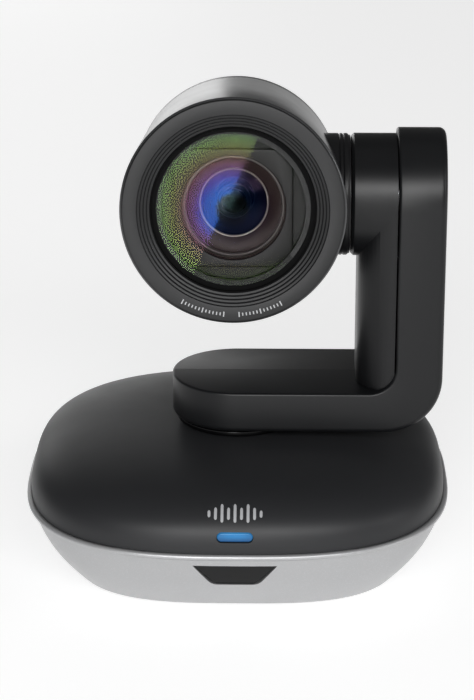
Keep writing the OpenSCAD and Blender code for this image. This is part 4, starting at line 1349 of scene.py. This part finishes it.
    def build(self) -> None:
        """Makes the whole head."""
        shell, optics = (self.ring, self.ticks, self.drum, self.cap), (self.glass, self.mask, self.barrel)
        for part in (*shell, *optics, self.elements, self.hub):
            part()


# ---------------------------------------------------------------- mechanism


INSIDE: dict[Paint, tuple[str, ...]] = {
    Paint.STEEL: ("pan_bearings", "pan_shaft", "pan_motor_shaft", "tilt_motor_shaft", "tilt_shaft",
                  "tilt_bearings", "guide_rods", "zoom_screw", "focus_screw", "shaft_clip"),
    Paint.CAST: ("pan_frame", "arm_core", "head_frame"),
    Paint.CAN: ("pan_motor", "tilt_motor", "stage_motors"),
    Paint.ACETAL: ("pan_gear", "pan_pinion", "tilt_gear", "tilt_pinion"),
    Paint.FILM: ("arm_cable",),
    Paint.SCREW: ("board_screws", "core_screws"),
    Paint.BLACK: ("pan_sensor", "pan_flag", "board_chips", "remote_sensor", "optical_chassis",
                  "zoom_carriage", "focus_carriage"),
}


def dress_inside() -> None:
    """Gives each CAD node that still shows its own finish."""
    board = Board("green_board", (0.012, 0.1, 0.035), 0.3, coat=0.3, depth=0.004)
    lens = Coated(
        "coated_group_lens", (0.4, 0.5, 0.6), 0.03, 1.0, depth=0.0001,
        hues=((0.0, (0.3, 0.5, 0.8)), (1.0, (0.6, 0.4, 0.7))), alpha=0.25)
    rows = {
        **{node: paint for paint, nodes in INSIDE.items() for node in nodes},
        "main_board": board, "front_board": board, "image_board": board,
        "zoom_lens": lens, "focus_lens": lens,
    }
    for node, paint in rows.items():
        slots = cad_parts[node].data.materials
        slots.clear()
        slots.append(material(paint))
        log.info("%s keeps its CAD shape", node)


# ---------------------------------------------------------------- studio


@dataclass
class Studio:
    """Floor, lights and camera."""

    camera_at: Place = (0.0108, -0.7173, 0.3273)
    camera_turn: Place = (QUARTER - 0.353, 0.0, 0.015)
    lens: float = 126.9
    shift: float = -0.0017
    floor_colour: Colour = (0.5, 0.5, 0.5)
    floor_glow: float = 0.66
    floor_half: float = 6.0
    world: float = 0.1

    def floor(self) -> None:
        """A plain pale floor."""
        paper = Lit(
            "studio_floor", self.floor_colour, 0.6, depth=0.0, mottle=0.003, specular=0.2,
            glow=self.floor_glow)
        sheet = Shape()
        bmesh.ops.create_grid(sheet.bm, x_segments=1, y_segments=1, size=self.floor_half)
        floor = linked("floor", sheet.meshed("floor"))
        sheet.bm.free()
        floor.data.materials.append(material(paper))

    def softbox(
        self, name: str, at: Sequence[float], aim: Sequence[float], size: Point, watts: float,
        roll: float = 0.0,
    ) -> None:
        """Adds one rectangular soft light.

        Args:
            name: the light's name.
            at: its centre.
            aim: the point that it faces.
            size: its width and height.
            watts: its power.
            roll: its turn about its own line of sight, in radians.
        """
        lamp = bpy.data.lights.new(name, "AREA")
        lamp.shape, lamp.size, lamp.size_y = "RECTANGLE", size[0], size[1]
        lamp.energy = watts
        thing = linked(name, lamp)
        facing = (Vector(aim) - Vector(at)).to_track_quat("-Z", "Y").to_matrix().to_4x4()
        thing.matrix_world = Matrix.Translation(at) @ facing @ Matrix.Rotation(roll, 4, "Z")

    def lights(self) -> None:
        """A wide key in front, three soft fills, and a tilted card that the glass reflects."""
        middle = (0.0, 0.0, 0.08)
        self.softbox("front_key", (0.1, -1.3, 0.8), middle, (1.6, 0.42), 17.5)
        self.softbox("right_low", (1.2, -0.3, 0.45), middle, (0.5, 0.5), 2.4)
        self.softbox("overhead", (0.0, 0.1, 1.9), middle, (1.2, 1.2), 0.5)
        self.softbox("back_left", (-0.4, 1.3, 0.22), middle, (0.7, 0.5), 1.9)
        edge = Vector((0.428, 0.0, 0.904))
        left = Vector((-0.904, 0.0, 0.428))
        width, height = 0.34, 0.6
        centre = Vector((-0.016, -1.1, 0.143)) + left * width / 2 + edge * 0.12
        self.softbox(
            "glass_card", centre, centre + Vector((0, 1, 0)), (width, height), 3.6,
            roll=-math.atan2(edge.x, edge.z))

    def build(self) -> None:
        """Sets up the whole studio."""
        scene = bpy.context.scene
        self.floor()
        self.lights()
        world = bpy.data.worlds.new("studio")
        world.use_nodes = True
        sky = world.node_tree.nodes["Background"].inputs
        sky["Color"].default_value, sky["Strength"].default_value = (*WHITE, 1.0), self.world
        scene.world = world
        eye = bpy.data.cameras.new("camera")
        eye.sensor_width, eye.lens, eye.shift_x = 36.0, self.lens, self.shift
        eye.clip_start, eye.clip_end = 0.01, 50.0
        thing = linked("camera", eye)
        thing.location, thing.rotation_euler = self.camera_at, self.camera_turn
        scene.camera = thing
        scene.view_settings.view_transform = "Standard"


def main() -> None:
    """Builds the camera piece by piece, then its studio."""
    logging.basicConfig(level=logging.INFO, format="%(name)s: %(message)s")
    for part in (Base(), Arm(), Head()):
        part.build()
    dress_inside()
    Studio().build()


if __name__ == "__main__":
    main()
